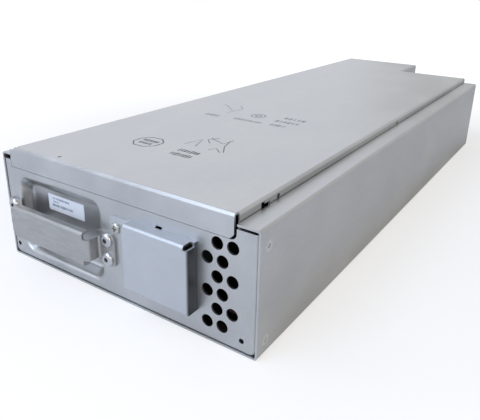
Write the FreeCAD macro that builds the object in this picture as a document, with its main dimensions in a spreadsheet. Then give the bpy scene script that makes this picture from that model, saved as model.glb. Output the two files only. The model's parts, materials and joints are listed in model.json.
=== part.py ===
import FreeCAD, Part
import math
import os
import re
import Sketcher

# Battery cartridge for a rack UPS: a long folded steel case that slides in as a drawer.
# Every piece is drawn from the front left bottom corner of the case: X to the right, Y to the back,
# Z up. Its Placement then moves it so that the part's origin is the middle of the base.

Vector = FreeCAD.Vector
NEAR = 0.001

# Driving sizes in millimetres: alias, value, meaning.
SIZES = [
    ("sheet", 1.2, "galvanised sheet of the case"),
    ("notch_room", 18.2, "width of the lead channel beside the left column, up to the rear notch"),
    ("rear_room", 11.8, "room behind the last blade of the left column"),
    ("foam_room", 6.8, "room behind the right column"),
    ("wire_room", 11.4, "room for leads between the right column and its wall"),
    ("top_room", 5.1, "height of the ledges above the batteries"),
    ("cover_rise", 5.2, "height of the cover above the ledges"),
    ("bend_outside", 2.0, "outer radius of a fold"),
    ("cover_left", 12.8, "left side of the cover"),
    ("cover_inset", 14.4, "right side of the cover, in from the right wall"),
    ("cover_gap", 0.4, "gap between the cover and the ledges"),
    ("lap_gap", 0.25, "gap between the front flange and the front panel"),
    ("side_flange", 9.2, "depth of the cover's side flanges"),
    ("lap_tall", 14.3, "depth of the cover's front flange"),
    ("rear_lap", 16.0, "depth of the cover's rear flanges"),
    ("lap_left", 8.7, "left end of the front flange"),
    ("lap_inset", 15.9, "right end of the front flange, in from the right wall"),
    ("lap_chamfer", 2.6, "corner cut off the front flange"),
    ("corner_relief", 3.2, "length of the open corners between flanges"),
    ("ear_drop", 2.4, "height of the cover's top above the flange's left ear"),
    ("flange_notch_front", 23.0, "front of the notch in the right flange"),
    ("flange_notch_long", 9.0, "length of that notch"),
    ("flange_notch_tall", 3.4, "height of its tall end above the ledge"),
    ("flange_notch_low", 1.9, "height of its low end above the ledge"),
    ("flange_hole_front", 41.0, "small hole in the right flange"),
    ("flange_hole_middle", 242.0, "second small hole in the right flange"),
    ("flange_hole_radius", 1.5, "radius of those holes"),
    ("panel_gap", 1.5, "gap between the front panel and the ledges"),
    ("panel_fold", 14.0, "depth of the front panel's folded edges"),
    ("panel_bend", 2.2, "outer radius of the front panel's folds"),
    ("panel_corner", 4.2, "corner radius of the front panel"),
    ("panel_side_gap", 1.7, "gap at the right end of the front flange"),
    ("panel_shoulder", 3.8, "corner radius of the cut-out for the front flange"),
    ("recess_left", 14.5, "left side of the hand recess"),
    ("recess_bottom", 8.0, "bottom of the hand recess"),
    ("recess_depth", 7.5, "depth of the hand recess"),
    ("recess_side_room", 115.0, "panel left plain to the right of the hand recess"),
    ("recess_head", 5.2, "room between the front flange and the hand recess"),
    ("recess_slope", 4.0, "slope of its side walls"),
    ("recess_low_slope", 4.0, "slope of its bottom wall"),
    ("recess_top_slope", 6.5, "slope of its top wall"),
    ("recess_corner", 8.0, "corner radius of the hand recess"),
    ("recess_rim", 3.4, "radius round its rim and its floor"),
    ("vent_radius", 3.8, "radius of a vent hole"),
    ("vent_inset", 32.7, "first column of vents, in from the right wall"),
    ("vent_head", 5.0, "room between the front flange and the first row's centres"),
    ("vent_low", 12.7, "height of the last row"),
    ("vent_shift", 6.5, "offset of every second row"),
    ("pilot_inset", 5.8, "small corner holes of the panel, in from the left"),
    ("pilot_inset_right", 9.9, "small corner hole, in from the right wall"),
    ("pilot_height", 8.8, "height of the small corner holes"),
    ("pilot_radius", 1.6, "radius of the small corner holes"),
    ("handle_inset", 1.3, "left leg, in from the side of the hand recess"),
    ("handle_foot", 13.4, "length of each foot"),
    ("handle_bottom", 22.2, "lower edge of the handle"),
    ("handle_tall", 22.8, "height of the handle"),
    ("handle_reach", 11.0, "how far the handle stands out"),
    ("handle_sheet", 1.5, "aluminium strip of the handle"),
    ("handle_bend", 3.0, "outer radius of the bends into the legs and feet"),
    ("lip_bend", 1.9, "outer radius of the bends into the lips"),
    ("handle_lip", 5.0, "depth of the lips along the grip"),
    ("handle_relief", 4.2, "square reliefs at the grip's corners"),
    ("foot_corner", 4.0, "corner radius of the feet"),
    ("rivet_inset", 6.2, "handle rivets, in from the foot's free end"),
    ("rivet_pitch", 12.9, "distance between the rivets of one foot"),
    ("rivet_head", 4.7, "head radius of a handle rivet"),
    ("rivet_dome", 2.0, "head height of a handle rivet"),
    ("rivet_shank", 2.4, "shank radius of a handle rivet"),
    ("rivet_bore", 1.5, "radius of the dimple over the mandrel of a handle rivet"),
    ("bore_deep", 0.9, "depth of that dimple"),
    ("rivet_tail", 3.4, "tail radius of a handle rivet"),
    ("tail_long", 4.0, "tail length behind the sheet"),
    ("flush_head", 3.4, "head radius of a flush rivet"),
    ("flush_shank", 2.2, "shank radius of a flush rivet"),
    ("flush_inset", 8.4, "flush rivets, in from the end of the wall"),
    ("flush_low", 9.0, "height of the lower flush rivets"),
    ("flush_drop", 11.1, "upper flush rivets, down from the ledges"),
    ("flush_dimple", 1.2, "radius of the dimple in a flush rivet"),
    ("flush_tail", 1.6, "length of a flush rivet's tail"),
    ("box_inset", 88.2, "left side of the connector cover, in from the right wall"),
    ("box_head", 8.0, "room between the front flange and the connector cover"),
    ("box_bend", 1.6, "outer radius of the connector cover's folds"),
    ("box_wide", 48.8, "width of the connector cover"),
    ("box_bottom", 17.0, "lower edge of the connector cover"),
    ("box_deep", 9.0, "how far the connector cover stands out"),
    ("box_relief", 2.6, "open upper corners of the connector cover"),
    ("ear_down", 13.1, "lower edge of the ear, down from the connector cover's top"),
    ("hook_inset", 19.6, "slot over the connector cover, in from its left side"),
    ("ear_long", 16.4, "length of the connector cover's ear"),
    ("ear_tall", 11.2, "height of the ear"),
    ("ear_corner", 3.2, "corner radius of the ear"),
    ("hook_wide", 4.4, "width of that slot"),
    ("hook_tall", 2.2, "height of that slot"),
    ("screw_inset", 5.8, "screw, in from the ear's free end"),
    ("screw_head", 3.6, "head radius of a pan head screw"),
    ("screw_dome", 2.2, "head height of a pan head screw"),
    ("screw_shank", 1.9, "shank radius of a pan head screw"),
    ("screw_long", 7.0, "length of a screw under its head"),
    ("cross_wide", 1.0, "width of the cross recess"),
    ("cross_long", 4.0, "length of the cross recess"),
    ("cross_deep", 1.3, "depth of the cross recess"),
    ("label_wide", 35.0, "width of the label"),
    ("label_inset", 19.9, "left end of the label, in from the side of the hand recess"),
    ("label_tall", 11.5, "height of the label"),
    ("label_down", 10.4, "upper edge of the label, down from the top of the hand recess"),
    ("label_thick", 0.2, "thickness of the label"),
    ("rear_fold", 12.0, "depth of the rear panel's folded ends"),
    ("rear_screw_drop", 11.5, "cover screws, down from the cover's top"),
    ("block_width", 90.0, "width of a battery block"),
    ("block_thick", 70.0, "thickness of a battery block"),
    ("block_tall", 101.0, "height of a battery block without its blades"),
    ("block_corner", 2.0, "corner radius of a battery block"),
    ("lid_tall", 9.0, "height of a battery block's lid"),
    ("lid_step", 0.6, "how far the lid is set in"),
    ("blade_rise", 5.0, "how far a blade stands above the lid"),
    ("blade_root", 3.0, "depth of the well round a blade"),
    ("blade_wide", 6.3, "width of a blade"),
    ("blade_thick", 0.8, "thickness of a blade"),
    ("blade_side", 20.0, "first blade, in from the block's side"),
    ("blade_spread", 50.0, "distance between the two blades"),
    ("blade_gap", 0.4, "gap between a blade's tip and the next block"),
    ("blade_height", 58.0, "blades, up from the block's lower face"),
    ("well_half", 6.0, "half the width of the well round a blade"),
    ("floor_film", 0.5, "insulating film on the base"),
    ("side_room", 1.2, "room between the left wall and the blocks"),
    ("divider_thick", 1.0, "insulating sheet between the two columns"),
    ("divider_end", 22.0, "how far that sheet stops short of the last blades"),
    ("left_start", 21.0, "front of the left column of blocks"),
    ("bay_deep", 36.8, "front of the partition behind the connector bay"),
    ("partition_fold", 10.0, "foot of the partition"),
    ("foam_wide", 14.0, "width of the left foam strip"),
    ("foam_inset", 1.4, "left foam strip, in from the right side of its blocks"),
    ("foam_front", 60.0, "front end of the left foam strip"),
    ("pad_wide", 40.0, "width of the right foam strip"),
    ("pad_low_gap", 1.7, "gap between the rear foams and the receptacles over them"),
    ("pad_short", 21.0, "right end of the foam behind the right column, in from the wall"),
    ("partition_short", 0.4, "right end of the partition, in from the end of its batteries"),
    ("wire_radius", 1.6, "radius of an insulated lead"),
    ("wire_bend", 5.0, "bend radius at the top of a block"),
    ("lead_step", 30.25, "how far the negative lead runs sideways before it turns to the connector"),
    ("wire_rise", 4.5, "height of those leads above the batteries"),
    ("wire_clear", 4.6, "room kept between a lead's axis and a wall it runs along"),
    ("wire_behind", 30.0, "leads behind the connector, from the front"),
    ("sleeve_wide", 8.0, "width of an insulated receptacle"),
    ("sleeve_long", 11.0, "length of an insulated receptacle"),
    ("plug_wide", 36.0, "width of the output connector"),
    ("plug_bottom", 26.0, "lower face of the output connector"),
    ("plug_tall", 24.0, "height of the output connector"),
    ("plug_front", 5.0, "how far the output connector stands out"),
    ("plug_back", 24.0, "depth of the output connector behind the panel"),
    ("plug_flange", 4.0, "width of its flange"),
    ("plug_flange_thick", 2.0, "thickness of its flange"),
    ("plug_gap", 0.4, "room round the connector in the panel"),
    ("contact_radius", 3.0, "radius of a contact"),
    ("contact_pitch", 18.0, "distance between the contacts"),
    ("contact_room", 2.2, "room round a contact"),
    ("contact_well", 14.0, "depth of the wells round the contacts"),
    ("fuse_inset", 14.6, "left end of the fuse holder, in from the divider"),
    ("fuse_long", 60.0, "length of the fuse holder"),
    ("fuse_radius", 7.0, "radius of the fuse holder"),
    ("fuse_core", 3.2, "radius of the fuse"),
    ("fuse_core_long", 32.0, "length of the fuse"),
    ("fuse_cap_long", 20.0, "length of the fuse holder's cap"),
    ("fuse_room", 0.3, "room round the fuse"),
    ("fuse_y", 20.0, "axis of the fuse holder, from the front"),
    ("dimple_x", 53.2, "dimple on the cover, from the left"),
    ("dimple_y", 5.4, "dimple on the cover, from the front"),
    ("dimple_radius", 1.3, "radius of the dimple"),
    ("dimple_deep", 0.8, "depth of the dimple"),
]

BLOCKS_IN_COLUMN = 5

# Sizes that follow from the ones above: alias, formula, meaning.
FITTED = [
    ("case_width", "2 * sheet + side_room + block_width + divider_thick + block_tall + wire_room",
     "outside width of the tray"),
    ("case_length", "left_start + %d * (block_tall + blade_rise) + rear_room + sheet" % BLOCKS_IN_COLUMN,
     "length of the left side"),
    ("right_length", "bay_deep + %d * block_width + foam_room + 2 * sheet" % BLOCKS_IN_COLUMN,
     "length of the right side, up to the rear notch"),
    ("notch_left", "sheet + side_room + block_width + notch_room", "left side of the rear notch"),
    ("battery_top", "sheet + floor_film + block_thick", "top of the batteries"),
    ("ledge_height", "battery_top + top_room", "top of the ledges along both walls"),
    ("cover_top", "ledge_height + cover_rise", "top of the cover"),
    ("lap_low", "cover_top - lap_tall", "lower edge of the front flange"),
    ("panel_left_step", "ledge_height - lap_tall * 0.3", "top of the front panel beside the ear"),
    ("recess_right", "case_width - recess_side_room", "right side of the hand recess"),
    ("recess_top", "lap_low - recess_head", "top of the hand recess"),
    ("handle_left", "recess_left + handle_inset", "outer face of the handle's left leg"),
    ("handle_span", "recess_right - handle_left", "distance over the handle's legs"),
    ("label_left", "recess_left + label_inset", "left end of the label"),
    ("label_bottom", "recess_top - label_down - label_tall", "lower edge of the label"),
    ("vent_left", "case_width - vent_inset", "first column of vents"),
    ("vent_top", "lap_low - vent_head", "height of the first row"),
    ("vent_pitch", "(vent_top - vent_low) / 5", "distance between vents in a row and between rows"),
    ("box_left", "case_width - box_inset", "left side of the connector cover"),
    ("box_tall", "lap_low - box_head - box_bottom", "height of the connector cover"),
    ("hook_left", "box_left + hook_inset", "left end of the slot over the connector cover"),
    ("ear_bottom", "box_bottom + box_tall - ear_down", "lower edge of the ear"),
    ("screw_height", "ear_bottom + ear_tall * 0.375", "height of the screw"),
    ("plug_left", "box_left + (box_wide - plug_wide) / 2", "left side of the output connector"),
    ("flush_high", "ledge_height - flush_drop", "height of the upper flush rivets"),
    ("wire_top", "battery_top + wire_rise", "height of the leads that cross over the blocks"),
    ("pad_low_top", "sheet + floor_film + blade_height - sleeve_wide / 2 - pad_low_gap",
     "top of the foam behind the columns"),
    ("pad_low_end", "case_width - pad_short", "right end of the foam behind the right column"),
    ("right_bay", "sheet + side_room + block_width + divider_thick", "left side of the right column"),
    ("pad_left", "right_bay + (block_tall - pad_wide) / 2", "left side of the right foam strip"),
    ("partition_end", "right_bay + block_tall - partition_short", "right end of the partition"),
    ("fuse_left", "right_bay + fuse_inset", "left end of the fuse holder"),
]

doc = FreeCAD.newDocument("BatteryCartridge")
sizes = doc.addObject("Spreadsheet::Sheet", "sizes")
for row, (alias, value, meaning) in enumerate(SIZES + FITTED, start=1):
    formula = "=" + value if isinstance(value, str) else str(value)
    sizes.set("A%d" % row, meaning)
    sizes.set("B%d" % row, formula)
    sizes.setAlias("B%d" % row, alias)
doc.recompute()
ALIASES = {alias for alias, value, meaning in SIZES + FITTED}
pieces = []


# ---- how sizes are read and bound ----------------------------------------------------------------

def refer(formula):
    """The formula with every alias written as a reference to the sheet."""
    return re.sub(r"[a-z_]+", lambda word: "sizes." + word[0] if word[0] in ALIASES else word[0], formula)


def number(formula):
    """The formula's present value."""
    value = sizes.evalExpression(refer(formula))
    return float(getattr(value, "Value", value))


def bind(thing, **formulas):
    """Bind properties to formulas over the sheet; a double underscore stands for a dot."""
    for name, formula in formulas.items():
        thing.setExpression(name.replace("__", "."), refer(formula))


def place(piece, x="0", y="0", z="0"):
    """Bind a piece's Placement: case corner coordinates, moved to the middle of the base."""
    bind(piece, Placement__Base__x="%s - case_width / 2" % x)
    bind(piece, Placement__Base__y="%s - case_length / 2" % y)
    bind(piece, Placement__Base__z=z)


# ---- drawing helpers -----------------------------------------------------------------------------

def new_body(label):
    body = doc.addObject("PartDesign::Body", label)
    body.Label = label
    return body


def sketch_on(body, name, plane, offset="0"):
    """A sketch on one of the body's own origin planes, moved along that plane's normal."""
    sketch = body.newObject("Sketcher::SketchObject", "%s_%s" % (body.Name, name))
    support = [entry for entry in body.Origin.OriginFeatures if entry.Role == plane]
    sketch.AttachmentSupport = [(support[0], "")]
    sketch.MapMode = "FlatFace"
    bind(sketch, AttachmentOffset__Base__z=offset)
    return sketch


def pin_point(sketch, geometry, end, x, y):
    """Fix one point of a sketch at two formulas, measured from the sketch's origin."""
    for kind, axis, formula in (("DistanceX", -2, x), ("DistanceY", -1, y)):
        value = number(formula)
        if abs(value) < NEAR:
            sketch.addConstraint(Sketcher.Constraint("PointOnObject", geometry, end, axis))
            continue
        index = sketch.addConstraint(Sketcher.Constraint(kind, -1, 1, geometry, end, value))
        sketch.setExpression("Constraints[%d]" % index, refer(formula))


def polygon(sketch, corners):
    """A closed outline through corners given as pairs of formulas."""
    points = [Vector(number(x), number(y), 0) for x, y in corners]
    lines = []
    for start, end in zip(points, points[1:] + points[:1]):
        lines.append(sketch.addGeometry(Part.LineSegment(start, end), False))
    for line, following in zip(lines, lines[1:] + lines[:1]):
        sketch.addConstraint(Sketcher.Constraint("Coincident", line, 2, following, 1))
    for line, (x, y) in zip(lines, corners):
        pin_point(sketch, line, 1, x, y)


def rectangle(sketch, left, bottom, right, top):
    polygon(sketch, [(left, bottom), (right, bottom), (right, top), (left, top)])


def disc(sketch, x, y, radius):
    centre = Vector(number(x), number(y), 0)
    circle = sketch.addGeometry(Part.Circle(centre, Vector(0, 0, 1), number(radius)), False)
    pin_point(sketch, circle, 3, x, y)
    index = sketch.addConstraint(Sketcher.Constraint("Radius", circle, number(radius)))
    sketch.setExpression("Constraints[%d]" % index, refer(radius))


def volume_of(body):
    return 0.0 if body.Shape.isNull() else body.Shape.Volume


def pad(body, sketch, length, reverse=False):
    before = volume_of(body)
    feature = body.newObject("PartDesign::Pad", sketch.Name + "_pad")
    feature.Profile = sketch
    feature.Reversed = reverse
    bind(feature, Length=length)
    doc.recompute()
    require(body.Shape.Volume > before + NEAR, feature.Name + " adds nothing")
    return feature


def pocket(body, sketch, length, reverse=False, taper=None):
    before = volume_of(body)
    feature = body.newObject("PartDesign::Pocket", sketch.Name + "_cut")
    feature.Profile = sketch
    feature.Reversed = reverse
    bind(feature, Length=length)
    if taper:
        bind(feature, TaperAngle=taper)
    doc.recompute()
    require(body.Shape.Volume < before - NEAR, feature.Name + " cuts nothing")
    return feature


def loft(body, first, second, cut=False):
    before = volume_of(body)
    kind = "SubtractiveLoft" if cut else "AdditiveLoft"
    feature = body.newObject("PartDesign::" + kind, first.Name + "_loft")
    feature.Profile = first
    feature.Sections = [second]
    feature.Ruled = True
    doc.recompute()
    require(abs(body.Shape.Volume - before) > NEAR, feature.Name + " changes nothing")
    return feature


def lines_along(body, direction, **spot):
    """Names of the body's straight edges along X, Y or Z whose middle has the given coordinates."""
    names = []
    for index, edge in enumerate(body.Shape.Edges, start=1):
        box = edge.BoundBox
        spans = {"X": box.XLength, "Y": box.YLength, "Z": box.ZLength}
        length = spans.pop(direction)
        if length < NEAR or max(spans.values()) > NEAR:
            continue
        if all(abs(getattr(box.Center, axis) - value) < NEAR for axis, value in spot.items()):
            names.append("Edge%d" % index)
    return names


def edges_where(body, test):
    return ["Edge%d" % index for index, edge in enumerate(body.Shape.Edges, start=1) if test(edge)]


def faces_where(body, test):
    return ["Face%d" % index for index, face in enumerate(body.Shape.Faces, start=1) if test(face)]


def in_plane(axis, value):
    """A test for edges or faces that lie in the plane where x, y or z has the given value."""
    low, high = axis.upper() + "Min", axis.upper() + "Max"
    return lambda item: (abs(getattr(item.BoundBox, low) - value) < NEAR
                         and abs(getattr(item.BoundBox, high) - value) < NEAR)


def dress(body, kind, edges, **formulas):
    """A PartDesign fillet or chamfer on the body's tip."""
    require(edges, "no edges for a %s on %s" % (kind, body.Name))
    base = body.Tip
    feature = body.newObject("PartDesign::" + kind, "%s_%s" % (body.Name, kind.lower()))
    feature.Base = (base, edges)
    bind(feature, **formulas)
    doc.recompute()
    require("Invalid" not in feature.State, "%s failed on %s" % (kind, body.Name))
    return feature


def round_edges(body, edges, radius):
    return dress(body, "Fillet", edges, Radius=radius)


def shell(body, open_faces, wall):
    """Hollow the body to a sheet of even thickness, inwards, open at the given faces."""
    base = body.Tip
    before = body.Shape.BoundBox
    feature = body.newObject("PartDesign::Thickness", body.Name + "_sheet")
    feature.Base = (base, open_faces)
    feature.Reversed = True
    feature.Mode = 0
    feature.Join = 0
    bind(feature, Value=wall)
    doc.recompute()
    require("Invalid" not in feature.State, "sheet failed on " + body.Name)
    require(body.Shape.BoundBox.DiagonalLength < before.DiagonalLength + NEAR, "sheet grew on " + body.Name)
    return feature


def require(condition, message):
    if not condition:
        raise RuntimeError(message)


def keep(piece, **spot):
    """Place a finished piece and put it on the list of pieces that are written."""
    place(piece, **spot)
    pieces.append(piece)
    return piece


# ---- places that several pieces share ------------------------------------------------------------

PANEL_TOP = "(ledge_height - sheet - panel_gap)"
LAP_RIGHT = "(case_width - lap_inset)"
LAP_BOTTOM = "lap_low"
COVER_RIGHT = "(case_width - cover_inset)"
COVER_UNDERSIDE = "(cover_top - sheet)"
BEND_INSIDE = "(bend_outside - sheet)"
HANDLE_RIGHT = "(handle_left + handle_span)"
HANDLE_TOP = "(handle_bottom + handle_tall)"
RIVET_LEFT = "(handle_left - handle_foot + rivet_inset)"
RIVET_RIGHT = "(handle_left + handle_span + handle_foot - rivet_inset)"
RIVET_LOW = "(handle_bottom + handle_tall / 2 - rivet_pitch / 2)"
RIVET_HIGH = "(handle_bottom + handle_tall / 2 + rivet_pitch / 2)"
BOX_RIGHT = "(box_left + box_wide)"
BOX_TOP = "(box_bottom + box_tall)"
SCREW_X = "(box_left - ear_long + screw_inset)"
FLOOR = "(sheet + floor_film)"
BLOCK_TOP = "battery_top"
DIVIDER_X = "(sheet + side_room + block_width)"
RIGHT_X = "right_bay"
LEFT_PITCH = "(block_tall + blade_rise)"
RIGHT_START = "(bay_deep + sheet)"
LEFT_END = "(left_start + %d * %s - blade_rise)" % (BLOCKS_IN_COLUMN, LEFT_PITCH)
RIGHT_END = "(%s + %d * block_width)" % (RIGHT_START, BLOCKS_IN_COLUMN)
BLADE_Z = "(sheet + floor_film + blade_height)"
COVER_SCREW_Z = "(cover_top - rear_screw_drop)"
COVER_SCREWS = [("case_length", "(notch_left / 4)"),
                ("case_length", "(notch_left * 3 / 4)"),
                ("right_length", "((notch_left + case_width) / 2)")]

FACING_FRONT = FreeCAD.Rotation(Vector(1, 0, 0), 90)
FACING_BACK = FreeCAD.Rotation(Vector(1, 0, 0), -90)
FACING_RIGHT = FreeCAD.Rotation(Vector(0, 1, 0), 90)
FACING_LEFT = FreeCAD.Rotation(Vector(0, 1, 0), -90)
LYING_LENGTHWISE = FreeCAD.Rotation(Vector(0, 1, 1), 180)
LYING_CROSSWISE = FreeCAD.Rotation(Vector(1, 1, 1), 120)


# ---- case ----------------------------------------------------------------------------------------

def chassis_tray():
    """Base, walls and inward ledges, folded from one sheet round a stepped plan."""
    body = new_body("chassis_tray")
    plan = sketch_on(body, "plan", "XY_Plane")
    polygon(plan, [("0", "0"), ("case_width", "0"), ("case_width", "right_length"),
                   ("notch_left", "right_length"), ("notch_left", "case_length"), ("0", "case_length")])
    pad(body, plan, "ledge_height")
    folds = lines_along(body, "Y", x=0.0) + lines_along(body, "Y", x=number("case_width"))
    round_edges(body, folds, "bend_outside")
    ends = [in_plane("y", 0.0), in_plane("y", number("right_length")),
            in_plane("x", number("notch_left")), in_plane("y", number("case_length"))]
    shell(body, faces_where(body, lambda face: any(end(face) for end in ends)), "sheet")
    mouth = sketch_on(body, "mouth", "XY_Plane", "ledge_height")
    left, right = "cover_left - cover_gap", "%s + cover_gap" % COVER_RIGHT
    ear, ear_end = "lap_left - cover_gap", "sheet + cover_gap"
    polygon(mouth, [(ear, "-sheet"), (right, "-sheet"), (right, "case_length + sheet"),
                    (left, "case_length + sheet"), (left, ear_end), (ear, ear_end)])
    pocket(body, mouth, "2 * sheet")
    for side, wall, rear, inward in (("left", "0", "case_length", True),
                                     ("right", "case_width", "right_length", False)):
        seats = sketch_on(body, side + "_seats", "YZ_Plane", wall)
        for height in ("flush_low", "flush_high"):
            disc(seats, "flush_inset", height, "flush_head")
            disc(seats, rear + " - flush_inset", height, "flush_head")
        pocket(body, seats, "sheet", reverse=inward, taper="-atan((flush_head - flush_shank) / sheet)")
    keep(body)


def recess_outline(body, name, depth, behind):
    """The hand recess at a depth behind the panel's face, or the back of its wall there."""
    sketch = sketch_on(body, name, "XZ_Plane", "-(%s)" % depth)
    reach = {}
    for slope in ("recess_slope", "recess_low_slope", "recess_top_slope"):
        wall = "sheet * sqrt(1 + (%s / recess_depth) ^ 2)" % slope if behind else "0"
        reach[slope] = "(%s / recess_depth * (%s) - %s)" % (slope, depth, wall)
    rectangle(sketch, "recess_left + " + reach["recess_slope"],
              "recess_bottom + " + reach["recess_low_slope"],
              "recess_right - " + reach["recess_slope"],
              "recess_top - " + reach["recess_top_slope"])
    return sketch


def front_panel():
    """Pressed panel: folded edges, a drawn hand recess, vents and the openings for what it carries."""
    body = new_body("front_panel")
    face = sketch_on(body, "face", "XZ_Plane")
    rectangle(face, "sheet", "sheet", "case_width - sheet", PANEL_TOP)
    pad(body, face, "panel_fold", reverse=True)
    low = number("sheet")
    corners = (lines_along(body, "Y", x=low, z=low)
               + lines_along(body, "Y", x=number("case_width - sheet"), z=low))
    round_edges(body, corners, "panel_corner")
    front = in_plane("y", 0.0)
    top = number(PANEL_TOP)
    round_edges(body, edges_where(body, lambda edge: front(edge) and edge.BoundBox.ZMin < top - NEAR),
                "panel_bend")
    back = in_plane("y", number("panel_fold"))
    upper = in_plane("z", top)
    shell(body, faces_where(body, lambda item: back(item) or upper(item)), "sheet")

    outside = recess_outline(body, "pan_back", "sheet", True)
    loft(body, outside, recess_outline(body, "pan_floor_back", "recess_depth + sheet", True))
    inside = recess_outline(body, "pan_rim", "0", False)
    loft(body, inside, recess_outline(body, "pan_floor", "recess_depth", False), cut=True)
    deep = number("recess_depth")
    wall = number("sheet")

    def spans(edge, near, far):
        return abs(edge.BoundBox.YMin - near) < NEAR and abs(edge.BoundBox.YMax - far) < NEAR

    round_edges(body, edges_where(body, lambda edge: spans(edge, 0.0, deep)), "recess_corner")
    round_edges(body, edges_where(body, lambda edge: spans(edge, wall, deep + wall)),
                "recess_corner + sheet")
    hole = FreeCAD.BoundBox(number("recess_left") - 2 * wall, -1, number("recess_bottom") - 2 * wall,
                            number("recess_right") + 2 * wall, 2 * deep, number("recess_top") + 2 * wall)
    for level, radius in ((0.0, "recess_rim"), (wall, "recess_rim - sheet"),
                          (deep, "recess_rim"), (deep + wall, "recess_rim + sheet")):
        ring = in_plane("y", level)
        round_edges(body, edges_where(body, lambda edge: ring(edge) and hole.isInside(edge.BoundBox)), radius)

    cutout = sketch_on(body, "cutout", "XZ_Plane", "sheet")
    rectangle(cutout, "lap_left - lap_gap", "%s - lap_gap" % LAP_BOTTOM,
              "%s + panel_side_gap" % LAP_RIGHT, "cover_top")
    rectangle(cutout, "-sheet", "panel_left_step", "lap_left - 2 * lap_gap", "cover_top")
    pocket(body, cutout, "panel_fold + 2 * sheet")
    shoulder = lines_along(body, "Y", x=number("%s + panel_side_gap" % LAP_RIGHT),
                           z=number("%s - lap_gap" % LAP_BOTTOM))
    round_edges(body, shoulder, "panel_shoulder")

    vents = sketch_on(body, "vents", "XZ_Plane")
    for row in range(6):
        shift = "vent_shift" if row % 2 == 0 else "0"
        for column in range(2):
            disc(vents, "vent_left + %s + %d * vent_pitch" % (shift, column),
                 "vent_top - %d * vent_pitch" % row, "vent_radius")
    pocket(body, vents, "2 * sheet")

    openings = sketch_on(body, "openings", "XZ_Plane")
    disc(openings, "pilot_inset", "pilot_height", "pilot_radius")
    disc(openings, "case_width - pilot_inset_right", "pilot_height", "pilot_radius")
    for x in (RIVET_LEFT, RIVET_RIGHT):
        for z in (RIVET_LOW, RIVET_HIGH):
            disc(openings, x, z, "rivet_shank")
    disc(openings, SCREW_X, "screw_height", "screw_shank")
    rectangle(openings, "hook_left", "%s - sheet" % BOX_TOP, "hook_left + hook_wide",
              "%s - sheet + hook_tall" % BOX_TOP)
    rectangle(openings, "plug_left - plug_gap", "plug_bottom - plug_gap",
              "plug_left + plug_wide + plug_gap", "plug_bottom + plug_tall + plug_gap")
    pocket(body, openings, "2 * sheet")

    for side, wall, inward in (("left", "0", True), ("right", "case_width", False)):
        seats = sketch_on(body, side + "_seats", "YZ_Plane", wall)
        disc(seats, "flush_inset", "flush_low", "flush_shank")
        disc(seats, "flush_inset", "flush_high", "flush_shank")
        pocket(body, seats, "3 * sheet", reverse=inward)
    keep(body)


def rear_panel():
    """One folded sheet that closes the back and steps round the notch."""
    body = new_body("rear_panel")
    plan = sketch_on(body, "plan", "XY_Plane", "bend_outside")
    polygon(plan, [("case_width - sheet", "right_length - rear_fold"),
                   ("case_width - sheet", "right_length"),
                   ("notch_left", "right_length"),
                   ("notch_left", "case_length"),
                   ("sheet", "case_length"),
                   ("sheet", "case_length - rear_fold"),
                   ("2 * sheet", "case_length - rear_fold"),
                   ("2 * sheet", "case_length - sheet"),
                   ("notch_left - sheet", "case_length - sheet"),
                   ("notch_left - sheet", "right_length - sheet"),
                   ("case_width - 2 * sheet", "right_length - sheet"),
                   ("case_width - 2 * sheet", "right_length - rear_fold")])
    pad(body, plan, "%s - bend_outside" % PANEL_TOP)
    outer = [("case_width - sheet", "right_length"), ("notch_left", "case_length"), ("sheet", "case_length"),
             ("notch_left - sheet", "right_length - sheet")]
    inner = [("case_width - 2 * sheet", "right_length - sheet"),
             ("notch_left - sheet", "case_length - sheet"),
             ("2 * sheet", "case_length - sheet"), ("notch_left", "right_length")]
    for corners, radius in ((outer, "bend_outside"), (inner, BEND_INSIDE)):
        bends = []
        for x, y in corners:
            bends += lines_along(body, "Z", x=number(x), y=number(y))
        round_edges(body, bends, radius)
    for side, wall, rear, inward in (("left", "0", "case_length", True),
                                     ("right", "case_width", "right_length", False)):
        seats = sketch_on(body, side + "_seats", "YZ_Plane", wall)
        disc(seats, rear + " - flush_inset", "flush_low", "flush_shank")
        disc(seats, rear + " - flush_inset", "flush_high", "flush_shank")
        pocket(body, seats, "3 * sheet", reverse=inward)
    for index, (y, x) in enumerate(COVER_SCREWS, start=1):
        hole = sketch_on(body, "screw_hole_%d" % index, "XZ_Plane", "-%s" % y)
        disc(hole, x, COVER_SCREW_Z, "screw_shank")
        pocket(body, hole, "2 * sheet", reverse=True)
    keep(body)


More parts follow.
